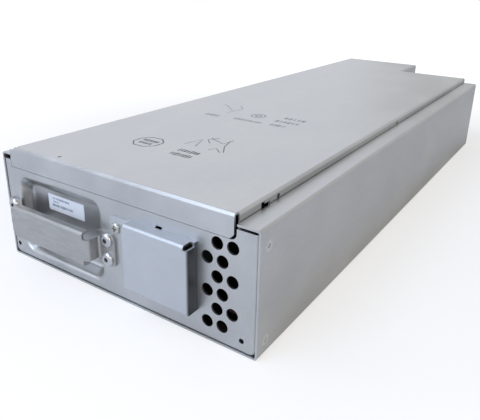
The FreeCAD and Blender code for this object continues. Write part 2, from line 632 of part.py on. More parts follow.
def top_cover():
    """Raised lid with a front flange let into the front panel, side flanges and rear laps."""
    body = new_body("top_cover")
    skirt = "(cover_top - rear_lap)"
    plan = sketch_on(body, "plan", "XY_Plane", skirt)
    polygon(plan, [("cover_left", "0"), (COVER_RIGHT, "0"), (COVER_RIGHT, "right_length + sheet"),
                   ("notch_left + sheet", "right_length + sheet"),
                   ("notch_left + sheet", "case_length + sheet"), ("cover_left", "case_length + sheet")])
    pad(body, plan, "rear_lap")
    round_edges(body, edges_where(body, in_plane("z", number("cover_top"))), "bend_outside")
    shell(body, faces_where(body, in_plane("z", number(skirt))), "sheet")

    ear = sketch_on(body, "ear", "XZ_Plane")
    rectangle(ear, "lap_left", LAP_BOTTOM, "cover_left + 2 * sheet", "cover_top - ear_drop")
    pad(body, ear, "sheet", reverse=True)

    flanges = sketch_on(body, "flanges", "XY_Plane", skirt)
    rectangle(flanges, "cover_left - sheet", "sheet", "cover_left + 2 * sheet", "case_length")
    rectangle(flanges, "%s - 2 * sheet" % COVER_RIGHT, "sheet", "%s + sheet" % COVER_RIGHT, "right_length")
    pocket(body, flanges, "rear_lap - side_flange", reverse=True)
    hem = sketch_on(body, "hem", "XY_Plane", skirt)
    rectangle(hem, "0", "-sheet", "case_width", "sheet + cover_gap")
    pocket(body, hem, "rear_lap - lap_tall", reverse=True)

    reliefs = sketch_on(body, "reliefs", "XY_Plane", "cover_top")
    rectangle(reliefs, LAP_RIGHT, "-sheet", "%s + sheet" % COVER_RIGHT, "corner_relief")
    rectangle(reliefs, "cover_left - sheet", "sheet", "cover_left + bend_outside", "corner_relief")
    rectangle(reliefs, "cover_left - sheet", "case_length - corner_relief", "cover_left + bend_outside",
              "case_length")
    rectangle(reliefs, "%s - bend_outside" % COVER_RIGHT, "right_length - corner_relief",
              "%s + sheet" % COVER_RIGHT, "right_length")
    pocket(body, reliefs, "rear_lap")
    dress(body, "Chamfer", lines_along(body, "Y", x=number(LAP_RIGHT), z=number(LAP_BOTTOM)),
          Size="lap_chamfer")

    side = sketch_on(body, "side", "YZ_Plane", "%s + sheet" % COVER_RIGHT)
    step = "flange_notch_front + flange_notch_tall"
    end = "flange_notch_front + flange_notch_long"
    polygon(side, [("flange_notch_front", skirt), (end, skirt), (end, "ledge_height + flange_notch_low"),
                   (step, "ledge_height + flange_notch_low"), (step, "ledge_height + flange_notch_tall"),
                   ("flange_notch_front", "ledge_height + flange_notch_tall")])
    for y in ("flange_hole_front", "flange_hole_middle"):
        disc(side, y, "ledge_height + flange_hole_radius", "flange_hole_radius")
    pocket(body, side, "3 * sheet")
    dimple = sketch_on(body, "dimple", "XY_Plane", "cover_top")
    disc(dimple, "dimple_x", "dimple_y", "dimple_radius")
    pocket(body, dimple, "dimple_deep")
    for index, (y, x) in enumerate(COVER_SCREWS, start=1):
        hole = sketch_on(body, "screw_hole_%d" % index, "XZ_Plane", "-%s + sheet" % y)
        disc(hole, x, COVER_SCREW_Z, "screw_shank")
        pocket(body, hole, "3 * sheet", reverse=False)
    keep(body)


# ---- handle and fasteners ------------------------------------------------------------------------

def handle():
    """Pull handle bent from an aluminium strip, with lips folded back along the grip."""
    body = new_body("handle")
    plan = sketch_on(body, "plan", "XY_Plane", "handle_bottom")
    foot_left = "handle_left - handle_foot"
    foot_right = "%s + handle_foot" % HANDLE_RIGHT
    inner_left = "handle_left + handle_sheet"
    inner_right = "%s - handle_sheet" % HANDLE_RIGHT
    grip_back = "handle_sheet - handle_reach"
    polygon(plan, [(foot_left, "0"), (foot_left, "-handle_sheet"), ("handle_left", "-handle_sheet"),
                   ("handle_left", "-handle_reach"), (HANDLE_RIGHT, "-handle_reach"),
                   (HANDLE_RIGHT, "-handle_sheet"), (foot_right, "-handle_sheet"), (foot_right, "0"),
                   (inner_right, "0"), (inner_right, grip_back), (inner_left, grip_back),
                   (inner_left, "0")])
    pad(body, plan, "handle_tall")
    lips = sketch_on(body, "lips", "XZ_Plane", "handle_reach")
    for bottom, top in (("handle_bottom", "handle_bottom + handle_sheet"),
                        ("%s - handle_sheet" % HANDLE_TOP, HANDLE_TOP)):
        rectangle(lips, "handle_left + handle_relief", bottom, "%s - handle_relief" % HANDLE_RIGHT, top)
    pad(body, lips, "handle_lip", reverse=True)
    reliefs = sketch_on(body, "reliefs", "XZ_Plane", "handle_reach + sheet")
    for bottom, top in (("handle_bottom - sheet", "handle_bottom + handle_relief"),
                        ("%s - handle_relief" % HANDLE_TOP, "%s + sheet" % HANDLE_TOP)):
        rectangle(reliefs, "handle_left - sheet", bottom, "handle_left + handle_relief", top)
        rectangle(reliefs, "%s - handle_relief" % HANDLE_RIGHT, bottom, "%s + sheet" % HANDLE_RIGHT, top)
    pocket(body, reliefs, "handle_reach + sheet - handle_sheet")
    inside_bend = "handle_bend - handle_sheet"
    outer = [("handle_left", "-handle_reach"), (HANDLE_RIGHT, "-handle_reach"),
             (inner_left, "0"), (inner_right, "0")]
    inner = [("handle_left", "-handle_sheet"), (HANDLE_RIGHT, "-handle_sheet"),
             (inner_left, grip_back), (inner_right, grip_back)]
    for places, radius in ((outer, "handle_bend"), (inner, inside_bend)):
        bends = []
        for x, y in places:
            bends += lines_along(body, "Z", x=number(x), y=number(y))
        round_edges(body, bends, radius)
    for y, heights, radius in (("-handle_reach", ("handle_bottom", HANDLE_TOP), "lip_bend"),
                               (grip_back, ("handle_bottom + handle_sheet",
                                            "%s - handle_sheet" % HANDLE_TOP), "lip_bend - handle_sheet")):
        bends = []
        for z in heights:
            bends += lines_along(body, "X", y=number(y), z=number(z))
        round_edges(body, bends, radius)
    corners = []
    for x in (foot_left, foot_right):
        for z in ("handle_bottom", HANDLE_TOP):
            corners += lines_along(body, "Y", x=number(x), z=number(z))
    round_edges(body, corners, "foot_corner")
    holes = sketch_on(body, "holes", "XZ_Plane", "handle_sheet")
    for x in (RIVET_LEFT, RIVET_RIGHT):
        for z in (RIVET_LOW, RIVET_HIGH):
            disc(holes, x, z, "rivet_shank")
    pocket(body, holes, "handle_sheet")
    keep(body)


def turned(label, steps):
    """A stepped round piece about Z, given as (bottom, top, radius), solid through every step."""
    body = new_body(label)
    for index, (bottom, top, radius) in enumerate(steps, start=1):
        circle = sketch_on(body, "step_%d" % index, "XY_Plane", bottom)
        disc(circle, "0", "0", radius)
        pad(body, circle, "%s - (%s)" % (top, bottom))
    return body


def circles_at(body, height, radius):
    """Round edges of the body at a height with a radius."""
    level = in_plane("z", number(height))
    span = 2 * number(radius)
    return edges_where(body, lambda edge: level(edge) and abs(edge.BoundBox.XLength - span) < NEAR)


def blind_rivet():
    """Dome head blind rivet about Z: the head above zero, the hollow shank and its tail below."""
    stack = "handle_sheet + sheet"
    body = turned("blind_rivet", [("-(%s + tail_long)" % stack, "-(%s)" % stack, "rivet_tail"),
                                  ("-(%s)" % stack, "0", "rivet_shank"),
                                  ("0", "rivet_dome", "rivet_head")])
    round_edges(body, circles_at(body, "rivet_dome", "rivet_head"), "rivet_dome * 0.85")
    bore = sketch_on(body, "bore", "XY_Plane", "rivet_dome")
    disc(bore, "0", "0", "rivet_bore")
    pocket(body, bore, "bore_deep")
    return body


def flush_rivet():
    """Countersunk rivet about Z: its face at zero, the tail behind both sheets."""
    body = turned("flush_rivet", [("-(2 * sheet + flush_tail)", "-2 * sheet", "flush_head"),
                                  ("-2 * sheet", "0", "flush_shank")])
    cone = sketch_on(body, "cone", "XY_Plane")
    disc(cone, "0", "0", "flush_head")
    feature = pad(body, cone, "sheet", reverse=True)
    bind(feature, TaperAngle="-atan((flush_head - flush_shank) / sheet)")
    doc.recompute()
    dimple = sketch_on(body, "dimple", "XY_Plane")
    disc(dimple, "0", "0", "flush_dimple")
    pocket(body, dimple, "sheet / 2")
    return body


def pan_screw(label):
    """Pan head screw about Z with a cross recess: the underside of its head at zero."""
    body = turned(label, [("-screw_long", "0", "screw_shank"), ("0", "screw_dome", "screw_head")])
    round_edges(body, circles_at(body, "screw_dome", "screw_head"), "screw_dome / 2")
    cross = sketch_on(body, "cross", "XY_Plane", "screw_dome")
    thin, far = "cross_wide / 2", "cross_long / 2"
    corners = [(thin, far), ("-" + thin, far), ("-" + thin, thin), ("-" + far, thin),
               ("-" + far, "-" + thin), ("-" + thin, "-" + thin), ("-" + thin, "-" + far),
               (thin, "-" + far), (thin, "-" + thin), (far, "-" + thin), (far, thin), (thin, thin)]
    polygon(cross, corners)
    pocket(body, cross, "cross_deep")
    return body


def group(label, master, spots):
    """Separate copies of one piece kept as a group; each spot is x, y, z and a rotation."""
    copies = []
    for index, (x, y, z, rotation) in enumerate(spots, start=1):
        copy = doc.addObject("App::Link", "%s_%02d" % (label, index))
        copy.LinkedObject = master
        copy.LinkPlacement = FreeCAD.Placement(Vector(), rotation)
        bind(copy, LinkPlacement__Base__x=x, LinkPlacement__Base__y=y, LinkPlacement__Base__z=z)
        copies.append(copy)
    compound = doc.addObject("Part::Compound", label)
    compound.Label = label
    compound.Links = copies
    doc.recompute()
    keep(compound)


def fasteners():
    spots = [(x, "-handle_sheet", z, FACING_FRONT)
             for x in (RIVET_LEFT, RIVET_RIGHT) for z in (RIVET_LOW, RIVET_HIGH)]
    group("handle_rivets", blind_rivet(), spots)
    spots = []
    for x, rear, facing in (("0", "case_length", FACING_LEFT), ("case_width", "right_length", FACING_RIGHT)):
        for y in ("flush_inset", "%s - flush_inset" % rear):
            spots += [(x, y, z, facing) for z in ("flush_low", "flush_high")]
    group("side_rivets", flush_rivet(), spots)
    spots = [(x, "%s + sheet" % y, COVER_SCREW_Z, FACING_BACK) for y, x in COVER_SCREWS]
    screw = pan_screw("pan_screw")
    group("cover_screws", screw, spots)
    group("connector_cover_screw", screw, [(SCREW_X, "-sheet", "screw_height", FACING_FRONT)])


def connector_cover():
    """Box folded over the output connector, held by one ear."""
    body = new_body("connector_cover")
    face = sketch_on(body, "face", "XZ_Plane")
    rectangle(face, "box_left", "box_bottom", BOX_RIGHT, BOX_TOP)
    pad(body, face, "box_deep")
    round_edges(body, edges_where(body, in_plane("y", -number("box_deep"))), "box_bend")
    shell(body, faces_where(body, in_plane("y", 0.0)), "sheet")
    ear = sketch_on(body, "ear", "XZ_Plane")
    rectangle(ear, "box_left - ear_long", "ear_bottom", "box_left + sheet", "ear_bottom + ear_tall")
    pad(body, ear, "sheet")
    corners = lines_along(body, "Y", x=number("box_left - ear_long"))
    round_edges(body, corners, "ear_corner")
    reliefs = sketch_on(body, "reliefs", "XZ_Plane", "box_deep + sheet")
    for left, right in (("box_left - sheet", "box_left + box_relief"),
                        ("%s - box_relief" % BOX_RIGHT, "%s + sheet" % BOX_RIGHT)):
        rectangle(reliefs, left, "%s - box_relief" % BOX_TOP, right, "%s + sheet" % BOX_TOP)
    pocket(body, reliefs, "box_deep - sheet")
    cuts = sketch_on(body, "cuts", "XZ_Plane", "sheet")
    disc(cuts, SCREW_X, "screw_height", "screw_shank")
    rectangle(cuts, "hook_left", "%s - 2 * sheet" % BOX_TOP, "hook_left + hook_wide", "%s + sheet" % BOX_TOP)
    pocket(body, cuts, "2 * sheet")
    keep(body)


def block(label, wide, deep, tall):
    """A plain box bound to the sheet."""
    box = doc.addObject("Part::Box", label)
    box.Label = label
    bind(box, Length=wide, Width=deep, Height=tall)
    return box


def recess_label():
    label = block("recess_label", "label_wide", "label_thick", "label_tall")
    keep(label, x="label_left", y="recess_depth - label_thick", z="label_bottom")


# ---- batteries -----------------------------------------------------------------------------------

BLADE_PLACES = ("blade_side", "blade_side + blade_spread")


def battery_block(label, rotation, x, y):
    """Sealed battery, drawn standing: a box with a set-in lid and a well round each blade."""
    body = new_body(label)
    foot = sketch_on(body, "foot", "XY_Plane")
    rectangle(foot, "0", "0", "block_width", "block_thick")
    pad(body, foot, "block_tall - lid_tall")
    lid = sketch_on(body, "lid", "XY_Plane", "block_tall - lid_tall")
    rectangle(lid, "lid_step", "lid_step", "block_width - lid_step", "block_thick - lid_step")
    pad(body, lid, "lid_tall")
    step = number("lid_step")
    upright = edges_where(body, lambda edge: edge.BoundBox.ZLength > step)
    round_edges(body, upright, "block_corner")
    wells = sketch_on(body, "wells", "XY_Plane", "block_tall")
    for x_blade in BLADE_PLACES:
        rectangle(wells, "%s - well_half" % x_blade, "blade_height - well_half",
                  "%s + well_half" % x_blade, "blade_height + well_half")
    pocket(body, wells, "blade_root")
    body.Placement = FreeCAD.Placement(Vector(), rotation)
    keep(body, x=x, y=y, z=FLOOR)


def terminal_blade():
    """Quick-connect blade about its root, standing along Z, its tip bevelled."""
    body = new_body("terminal_blade")
    foot = sketch_on(body, "foot", "XY_Plane")
    rectangle(foot, "-blade_wide / 2", "-blade_thick / 2", "blade_wide / 2", "blade_thick / 2")
    pad(body, foot, "blade_root + blade_rise - blade_gap")
    tip = number("blade_root + blade_rise - blade_gap")
    short = edges_where(body, lambda edge: edge.BoundBox.ZMin > tip - NEAR and edge.BoundBox.XLength < NEAR)
    dress(body, "Chamfer", short, Size="blade_thick")
    return body


def batteries():
    spots = []
    for index in range(BLOCKS_IN_COLUMN):
        y = "(left_start + %d * %s)" % (index, LEFT_PITCH)
        battery_block("battery_block_%02d" % (index + 1), LYING_LENGTHWISE, DIVIDER_X, y)
        for side in BLADE_PLACES:
            spots.append(("%s - (%s)" % (DIVIDER_X, side), "%s + block_tall - blade_root" % y,
                          BLADE_Z, LYING_LENGTHWISE))
    for index in range(BLOCKS_IN_COLUMN):
        y = "(%s + %d * block_width)" % (RIGHT_START, index)
        battery_block("battery_block_%02d" % (BLOCKS_IN_COLUMN + index + 1), LYING_CROSSWISE, RIGHT_X, y)
        for side in BLADE_PLACES:
            spots.append(("%s + block_tall - blade_root" % RIGHT_X, "%s + %s" % (y, side),
                          BLADE_Z, LYING_CROSSWISE))
    group("block_terminals", terminal_blade(), spots)


# ---- insulation ----------------------------------------------------------------------------------

def insulation():
    film = new_body("base_insulator")
    plan = sketch_on(film, "plan", "XY_Plane", "sheet")
    left = "2 * sheet + cover_gap"
    right = "case_width - 2 * sheet - cover_gap"
    front = "panel_fold + cover_gap"
    step = "right_length - sheet - cover_gap"
    notch = "notch_left - sheet - cover_gap"
    rear = "case_length - sheet - cover_gap"
    polygon(plan, [(left, front), (right, front), (right, step), (notch, step), (notch, rear), (left, rear)])
    pad(film, plan, "floor_film")
    keep(film)

    divider = block("centre_divider", "divider_thick",
                    "%s - divider_end - left_start" % LEFT_END, "block_thick")
    keep(divider, x=DIVIDER_X, y="left_start", z=FLOOR)

    partition = new_body("partition")
    profile = sketch_on(partition, "profile", "YZ_Plane", RIGHT_X)
    polygon(profile, [("bay_deep - partition_fold", FLOOR), (RIGHT_START, FLOOR), (RIGHT_START, BLOCK_TOP),
                      ("bay_deep", BLOCK_TOP), ("bay_deep", "%s + sheet" % FLOOR),
                      ("bay_deep - partition_fold", "%s + sheet" % FLOOR)])
    pad(partition, profile, "partition_end - %s" % RIGHT_X)
    keep(partition)

    foams = [
        ("front_foam", "recess_left", "recess_depth + sheet", "recess_bottom",
         "recess_right - recess_left - divider_thick", "left_start - recess_depth - sheet",
         "recess_top - 2 * recess_bottom"),
        ("rear_foam_left", "recess_left", "%s + blade_rise" % LEFT_END, FLOOR,
         "recess_right - recess_left", "case_length - sheet - %s - blade_rise" % LEFT_END,
         "pad_low_top - %s" % FLOOR),
        ("rear_foam_right", "notch_left", RIGHT_END, FLOOR,
         "pad_low_end - notch_left", "right_length - sheet - %s" % RIGHT_END, "pad_low_top - %s" % FLOOR),
        ("top_foam_left", "%s - foam_inset - foam_wide" % DIVIDER_X, "foam_front", BLOCK_TOP,
         "foam_wide", "%s - foam_front" % LEFT_END, "%s - %s" % (COVER_UNDERSIDE, BLOCK_TOP)),
        ("top_foam_right", "pad_left", RIGHT_START, BLOCK_TOP,
         "pad_wide", "%s - %s" % (RIGHT_END, RIGHT_START), "%s - %s" % (COVER_UNDERSIDE, BLOCK_TOP)),
    ]
    for label, x, y, z, wide, deep, tall in foams:
        keep(block(label, wide, deep, tall), x=x, y=y, z=z)


# ---- output connector and fuse -------------------------------------------------------------------

CONTACT_LEFT = "(plug_left + plug_wide / 2 - contact_pitch / 2)"
CONTACT_RIGHT = "(plug_left + plug_wide / 2 + contact_pitch / 2)"
CONTACT_Z = "(plug_bottom + plug_tall / 2)"


def output_connector():
    body = new_body("output_connector")
    shape = sketch_on(body, "shape", "XZ_Plane", "plug_front")
    rectangle(shape, "plug_left", "plug_bottom", "plug_left + plug_wide", "plug_bottom + plug_tall")
    pad(body, shape, "plug_front + plug_back", reverse=True)
    round_edges(body, lines_along(body, "Y"), "plug_gap * 3")
    flange = sketch_on(body, "flange", "XZ_Plane", "-sheet")
    rectangle(flange, "plug_left - plug_flange", "plug_bottom - plug_flange",
              "plug_left + plug_wide + plug_flange", "plug_bottom + plug_tall + plug_flange")
    pad(body, flange, "plug_flange_thick", reverse=True)
    wells = sketch_on(body, "wells", "XZ_Plane", "plug_front")
    for x in (CONTACT_LEFT, CONTACT_RIGHT):
        disc(wells, x, CONTACT_Z, "contact_radius + contact_room")
    pocket(body, wells, "contact_well")
    keep(body)

    pin = turned("contact_pin", [("0", "contact_well - contact_room", "contact_radius")])
    dress(pin, "Chamfer", circles_at(pin, "contact_well - contact_room", "contact_radius"),
          Size="contact_radius / 3")
    spots = [(x, "contact_well - plug_front", CONTACT_Z, FACING_FRONT) for x in (CONTACT_LEFT, CONTACT_RIGHT)]
    group("connector_contacts", pin, spots)


def fuse_holder():
    """In-line fuse holder lying across the connector bay: a tube, its screw cap and the fuse."""
    axis_z = "%s + fuse_radius" % FLOOR
    bore = "fuse_core + fuse_room"
    cap_left = "fuse_left + fuse_long - fuse_cap_long"
    fuse_end = "%s + (fuse_cap_long / 2)" % cap_left
    inner = "(fuse_core_long - fuse_cap_long / 2)"
    tube = turned("fuse_holder", [("0", "fuse_long - fuse_cap_long", "fuse_radius")])
    hole = sketch_on(tube, "hole", "XY_Plane", "fuse_long - fuse_cap_long")
    disc(hole, "0", "0", bore)
    pocket(tube, hole, inner)
    tube.Placement = FreeCAD.Placement(Vector(), FACING_RIGHT)
    keep(tube, x="fuse_left", y="fuse_y", z=axis_z)
    cap = turned("fuse_cap", [("0", "fuse_cap_long", "fuse_radius")])
    hole = sketch_on(cap, "hole", "XY_Plane")
    disc(hole, "0", "0", bore)
    pocket(cap, hole, "fuse_cap_long / 2", reverse=True)
    cap.Placement = FreeCAD.Placement(Vector(), FACING_RIGHT)
    keep(cap, x=cap_left, y="fuse_y", z=axis_z)
    fuse = doc.addObject("Part::Cylinder", "fuse")
    fuse.Label = "fuse"
    bind(fuse, Radius="fuse_core", Height="fuse_core_long")
    fuse.Placement = FreeCAD.Placement(Vector(), FACING_RIGHT)
    keep(fuse, x="%s - fuse_core_long" % fuse_end, y="fuse_y", z=axis_z)


# ---- leads ---------------------------------------------------------------------------------------

def point(x, y, z):
    """A point of a route, given as formulas."""
    return Vector(number(x), number(y), number(z))


def wire(points, radius, bend):
    """A round wire: straight runs through the points, with a tangent arc at every corner."""
    runs = []
    start = points[0]
    for before, corner, after in zip(points, points[1:], points[2:]):
        into = (corner - before).normalize()
        away = (after - corner).normalize()
        turn = into.getAngle(away)
        reach = bend * math.tan(turn / 2)
        first = corner - into * reach
        hinge = into.cross(away).normalize()
        centre = first + hinge.cross(into) * bend
        section = Part.Face(Part.Wire([Part.Circle(first, into, radius).toShape()]))
        runs.append(Part.makeCylinder(radius, (first - start).Length, start, into))
        runs.append(section.revolve(centre, hinge, math.degrees(turn)))
        start = corner + away * reach
    last = points[-1] - start
    runs.append(Part.makeCylinder(radius, last.Length, start, last.normalize()))
    return runs[0].fuse(runs[1:]) if runs[1:] else runs[0]


def sleeve(spot, along):
    """Insulated receptacle pushed over a blade; along is the axis of its lead, thin is the blade's axis."""
    thin = number("blade_rise - blade_gap")
    spans = {axis: number("sleeve_wide") for axis in "xyz"}
    spans[along] = number("sleeve_long")
    spans["y" if spot.x < number("case_width / 2") else "x"] = thin
    corner = spot - Vector(spans["x"], spans["y"], spans["z"]) / 2
    return Part.makeBox(spans["x"], spans["y"], spans["z"], corner)


def lead(label, points, sleeves, blades):
    """One lead: the insulated wire with a receptacle at each end that meets a blade."""
    shape = wire(points, number("wire_radius"), number("wire_bend"))
    shape = shape.fuse([sleeve(spot, along) for spot, along in sleeves]).cut(blades).removeSplitter()
    piece = doc.addObject("Part::Feature", label)
    piece.Label = label
    piece.Shape = shape.Solids[0]
    keep(piece)


def left_spot(index, side):
    """Middle of the free part of a blade in the left column."""
    return point("%s - (%s)" % (DIVIDER_X, BLADE_PLACES[side]),
                 "left_start + %d * %s + block_tall + (blade_rise - blade_gap) / 2" % (index, LEFT_PITCH),
                 BLADE_Z)


def right_spot(index, side):
    """Middle of the free part of a blade in the right column."""
    return point("%s + block_tall + (blade_rise - blade_gap) / 2" % RIGHT_X,
                 "%s + %d * block_width + %s" % (RIGHT_START, index, BLADE_PLACES[side]), BLADE_Z)


def leads():
    terminals = doc.getObject("block_terminals")
    blades = [solid.translated(Vector(number("case_width / 2"), number("case_length / 2"), 0))
              for solid in terminals.Shape.Solids]
    up = Vector(0, 0, number("wire_top") - number(BLADE_Z))
    half = number("sleeve_long") / 2
    lift = Vector(0, 0, half)
    onward = Vector(0, half, 0)
    last = BLOCKS_IN_COLUMN - 1
    for index in range(last):
        start, end = left_spot(index, 0), left_spot(index + 1, 1)
        lead("series_lead_%d" % (index + 1), [start + lift, start + up, end + up, end + lift],
             [(start, "z"), (end, "z")], blades)
    start, end = right_spot(last, 1), left_spot(last, 0)
    turn_y = number("right_length - wire_clear")
    cross_x = number("notch_left - 2 * wire_clear")
    sideways = Vector(half, 0, 0)
    lead("series_lead_%d" % (last + 1),
         [start + onward, Vector(start.x, turn_y, start.z), Vector(cross_x, turn_y, start.z),
          Vector(cross_x, end.y, start.z), end + sideways], [(start, "y"), (end, "x")], blades)
    for index in range(last):
        start, end = right_spot(index, 1), right_spot(index + 1, 0)
        lead("series_lead_%d" % (last + 2 + index), [start + onward, end - onward],
             [(start, "y"), (end, "y")], blades)

    plug_back = number("plug_back")
    contact_z = number(CONTACT_Z)
    first = left_spot(0, 1)
    behind = number("wire_behind")
    left_x = number(CONTACT_LEFT)
    top = number("wire_top")
    lead("main_lead_negative",
         [first + lift, first + up, Vector(first.x + number("lead_step"), number("foam_front"), top),
          Vector(left_x, behind, top), Vector(left_x, behind, contact_z),
          Vector(left_x, plug_back, contact_z)],
         [(first, "z")], blades)
    first = right_spot(0, 0)
    low = number("%s + fuse_radius" % FLOOR)
    fuse_y = number("fuse_y")
    down_y = number("%s + wire_clear" % RIGHT_START)
    lead("main_lead_positive",
         [first - onward, Vector(first.x, down_y, first.z), Vector(first.x, down_y, low),
          Vector(first.x, fuse_y, low), Vector(number("fuse_left + fuse_long"), fuse_y, low)],
         [(first, "y")], blades)
    side_x = number("%s + sleeve_wide" % RIGHT_X)
    deep = number("bay_deep") - (number("wire_radius") + number("cover_gap"))
    over = number("plug_bottom + plug_tall + wire_radius")
    right_x = number(CONTACT_RIGHT)
    lead("connector_lead",
         [Vector(number("fuse_left"), fuse_y, low), Vector(side_x, fuse_y, low), Vector(side_x, deep, low),
          Vector(side_x, deep, over), Vector(right_x, deep, over), Vector(right_x, deep, contact_z),
          Vector(right_x, plug_back, contact_z)], [], blades)


# ---- build, check and write ----------------------------------------------------------------------

for build in (chassis_tray, front_panel, rear_panel, top_cover, handle, fasteners, connector_cover,
              recess_label, batteries, insulation, output_connector, fuse_holder, leads):
    build()
doc.recompute()

for item in doc.Objects:
    require("Invalid" not in item.State and "Error" not in item.State, item.Name + " is not in order")
for piece in pieces:
    require(not piece.Shape.isNull() and piece.Shape.isValid(), piece.Label + " has no sound shape")

os.makedirs("parts", exist_ok=True)
for piece in pieces:
    piece.Shape.exportStep("parts/%s.step" % piece.Label)
print("%d pieces written" % len(pieces))
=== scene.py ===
# %% [markdown]
# # A battery drawer for a rack power supply
# This notebook dresses a finished model. Every solid piece was drawn in CAD at its real size, and
# here the pieces get their metal, plastic and ink. They could be modelled again in Blender, but two
# models of one object soon disagree, so the CAD shapes are loaded and left as they are. All lengths
# are metres, +Y runs to the back and +Z is up.

# %% Load the frame
import json
import math
import bmesh
import bpy
from mathutils import Matrix, Vector


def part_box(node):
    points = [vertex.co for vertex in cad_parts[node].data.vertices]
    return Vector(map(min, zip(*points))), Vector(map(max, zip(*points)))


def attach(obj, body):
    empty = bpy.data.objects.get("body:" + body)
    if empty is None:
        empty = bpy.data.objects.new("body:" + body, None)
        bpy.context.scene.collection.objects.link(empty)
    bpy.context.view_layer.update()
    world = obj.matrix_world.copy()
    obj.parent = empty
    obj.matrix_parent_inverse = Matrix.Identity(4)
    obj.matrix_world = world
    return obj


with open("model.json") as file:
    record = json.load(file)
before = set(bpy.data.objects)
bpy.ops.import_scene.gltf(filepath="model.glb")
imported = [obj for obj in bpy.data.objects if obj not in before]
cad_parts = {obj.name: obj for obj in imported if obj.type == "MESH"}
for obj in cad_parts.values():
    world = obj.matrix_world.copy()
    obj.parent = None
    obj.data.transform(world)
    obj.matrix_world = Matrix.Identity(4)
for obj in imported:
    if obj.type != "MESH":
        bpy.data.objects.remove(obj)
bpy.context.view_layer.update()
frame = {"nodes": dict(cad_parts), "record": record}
nodes = sorted(frame["nodes"])

# %% [markdown]
# ## Colours
# A paint chart gives colours as sRGB hex codes, but a renderer adds up light and needs them on a
# linear scale. Linear numbers could be typed in by hand, only nobody can picture them. One function
# converts, so every colour below stays a code that any colour picker shows.

# %% Hex colours to linear light
SRGB_TOE = 0.04045


def colour(hex_code):
    """Linear RGBA from an sRGB hex code."""
    parts = [int(hex_code[i:i + 2], 16) / 255 for i in (1, 3, 5)]
    return [c / 12.92 if c <= SRGB_TOE else ((c + 0.055) / 1.055) ** 2.4 for c in parts] + [1.0]


def grey(level):
    """A plain grey level, for masks and for roughness, where no colour is meant."""
    return (level, level, level, 1.0)


WHITE = colour("#FFFFFF")
print("mid grey in linear light:", [round(part, 3) for part in colour("#808080")])

# %% [markdown]
# ## Nodes
# A material is a small graph, with patterns on the left and a shader on the right. In the editor a
# node is added by hand, then set, then linked. In a script that would be four lines for each, so
# one function does all three, and an input can be a number or another node's output. A material
# then reads like a recipe, from the first pattern to the last link.

# %% One function that adds a node
def add_node(tree, kind, settings=None, **inputs):
    """Add a node with its settings and its inputs, each a value or another node's output.

    An input goes by its socket's name, with _ for a space, or by _ and its number. The setting
    called stops gives a colour ramp its positions and colours.
    """
    node = tree.nodes.new(kind)
    for name, value in (settings or {}).items():
        if name == "stops":
            for stop, (position, shade) in zip(node.color_ramp.elements, value):
                stop.position, stop.color = position, shade
        else:
            setattr(node, name, value)
    for name, value in inputs.items():
        key = int(name[1:]) if name[0] == "_" else name.replace("_", " ")
        if isinstance(value, bpy.types.NodeSocket):
            tree.links.new(value, node.inputs[key])
        else:
            node.inputs[key].default_value = value
    return node


def between(low, high, start=0.0, end=1.0):
    """Settings of a colour ramp: low up to start, high from end on, and a blend between."""
    return {"stops": ((start, low), (end, high))}


MULTIPLY = {"data_type": "RGBA", "blend_type": "MULTIPLY"}
print("ways of mixing two colours:", MULTIPLY["blend_type"], "darkens, MIX covers")

# %% [markdown]
# ## A material's start
# Every finish below starts alike: an output, a shader and Object coordinates. Generated coordinates
# would stretch a pattern to each piece's own box. Object coordinates are real metres, so a pattern
# can be given its real size in millimetres, and it stays in place when the piece is seen from
# behind. What is even all over a surface, such as how metallic it is, sits on the shader itself.

# %% Empty trees and patterns at their real size
MM = 0.001


def cleared(block):
    """Give a material or a world an empty node tree."""
    block.use_nodes = True
    block.node_tree.nodes.clear()
    return block.node_tree


def new_material(name, **even):
    """A material with a shader ready to be fed; even holds what is the same all over."""
    material = bpy.data.materials.new(name)
    tree = cleared(material)
    shader = add_node(tree, "ShaderNodeBsdfPrincipled", **even)
    add_node(tree, "ShaderNodeOutputMaterial", Surface=shader.outputs[0])
    place = add_node(tree, "ShaderNodeTexCoord").outputs["Object"]
    return material, tree, shader, place


def pattern(tree, place, size, kind, output=0, **inputs):
    """A pattern whose features have a real size, in millimetres along X, Y and Z."""
    scale = [1 / (side * MM) for side in size]
    spread = add_node(tree, "ShaderNodeMapping", Vector=place, Scale=scale)
    return add_node(tree, kind, Vector=spread.outputs[0], Scale=1.0, **inputs).outputs[output]


def feed(tree, shader, **sources):
    """Link what varies over the surface to the shader's inputs."""
    for name, source in sources.items():
        tree.links.new(source, shader.inputs[name.replace("_", " ")])


print("one unit of a 45 mm pattern is", 45 * MM, "m wide")

# %% [markdown]
# ## Galvanised sheet
# The case is folded from zinc coated steel. Skin passing leaves the zinc a satin grey with faint
# cloudy patches, fine rolling lines along the sheet and a trace of zinc crystals. An image of real
# sheet could be wrapped round it, but it would show seams at the folds, so two noise textures and a
# cell texture make the patches, lines and crystals. Metal has no diffuse colour of its own: the
# patches go into both its tint and its roughness, as smoother zinc mirrors more of the studio.

# %% Galvanised steel
CLOUD = (45, 70, 45)
# Real rolling lines are a few tenths of a millimetre wide, too fine to show from here, and the
# crystals of skin-passed zinc are small too, so both are drawn coarser.
ROLLING_LINE = (1, 15, 1)
SPANGLE = (5, 5, 5)
LINE_SHARE = 0.10
SPANGLE_SHARE = 0.04
# A face takes the painted shade as it turns to this direction: none at the first dot product, all
# of it at the second.
PAINTED_SHADE_FACING = (1.0, 0.0, 0.42)
PAINTED_SHADE_FROM, PAINTED_SHADE_TO = 0.4, 0.95


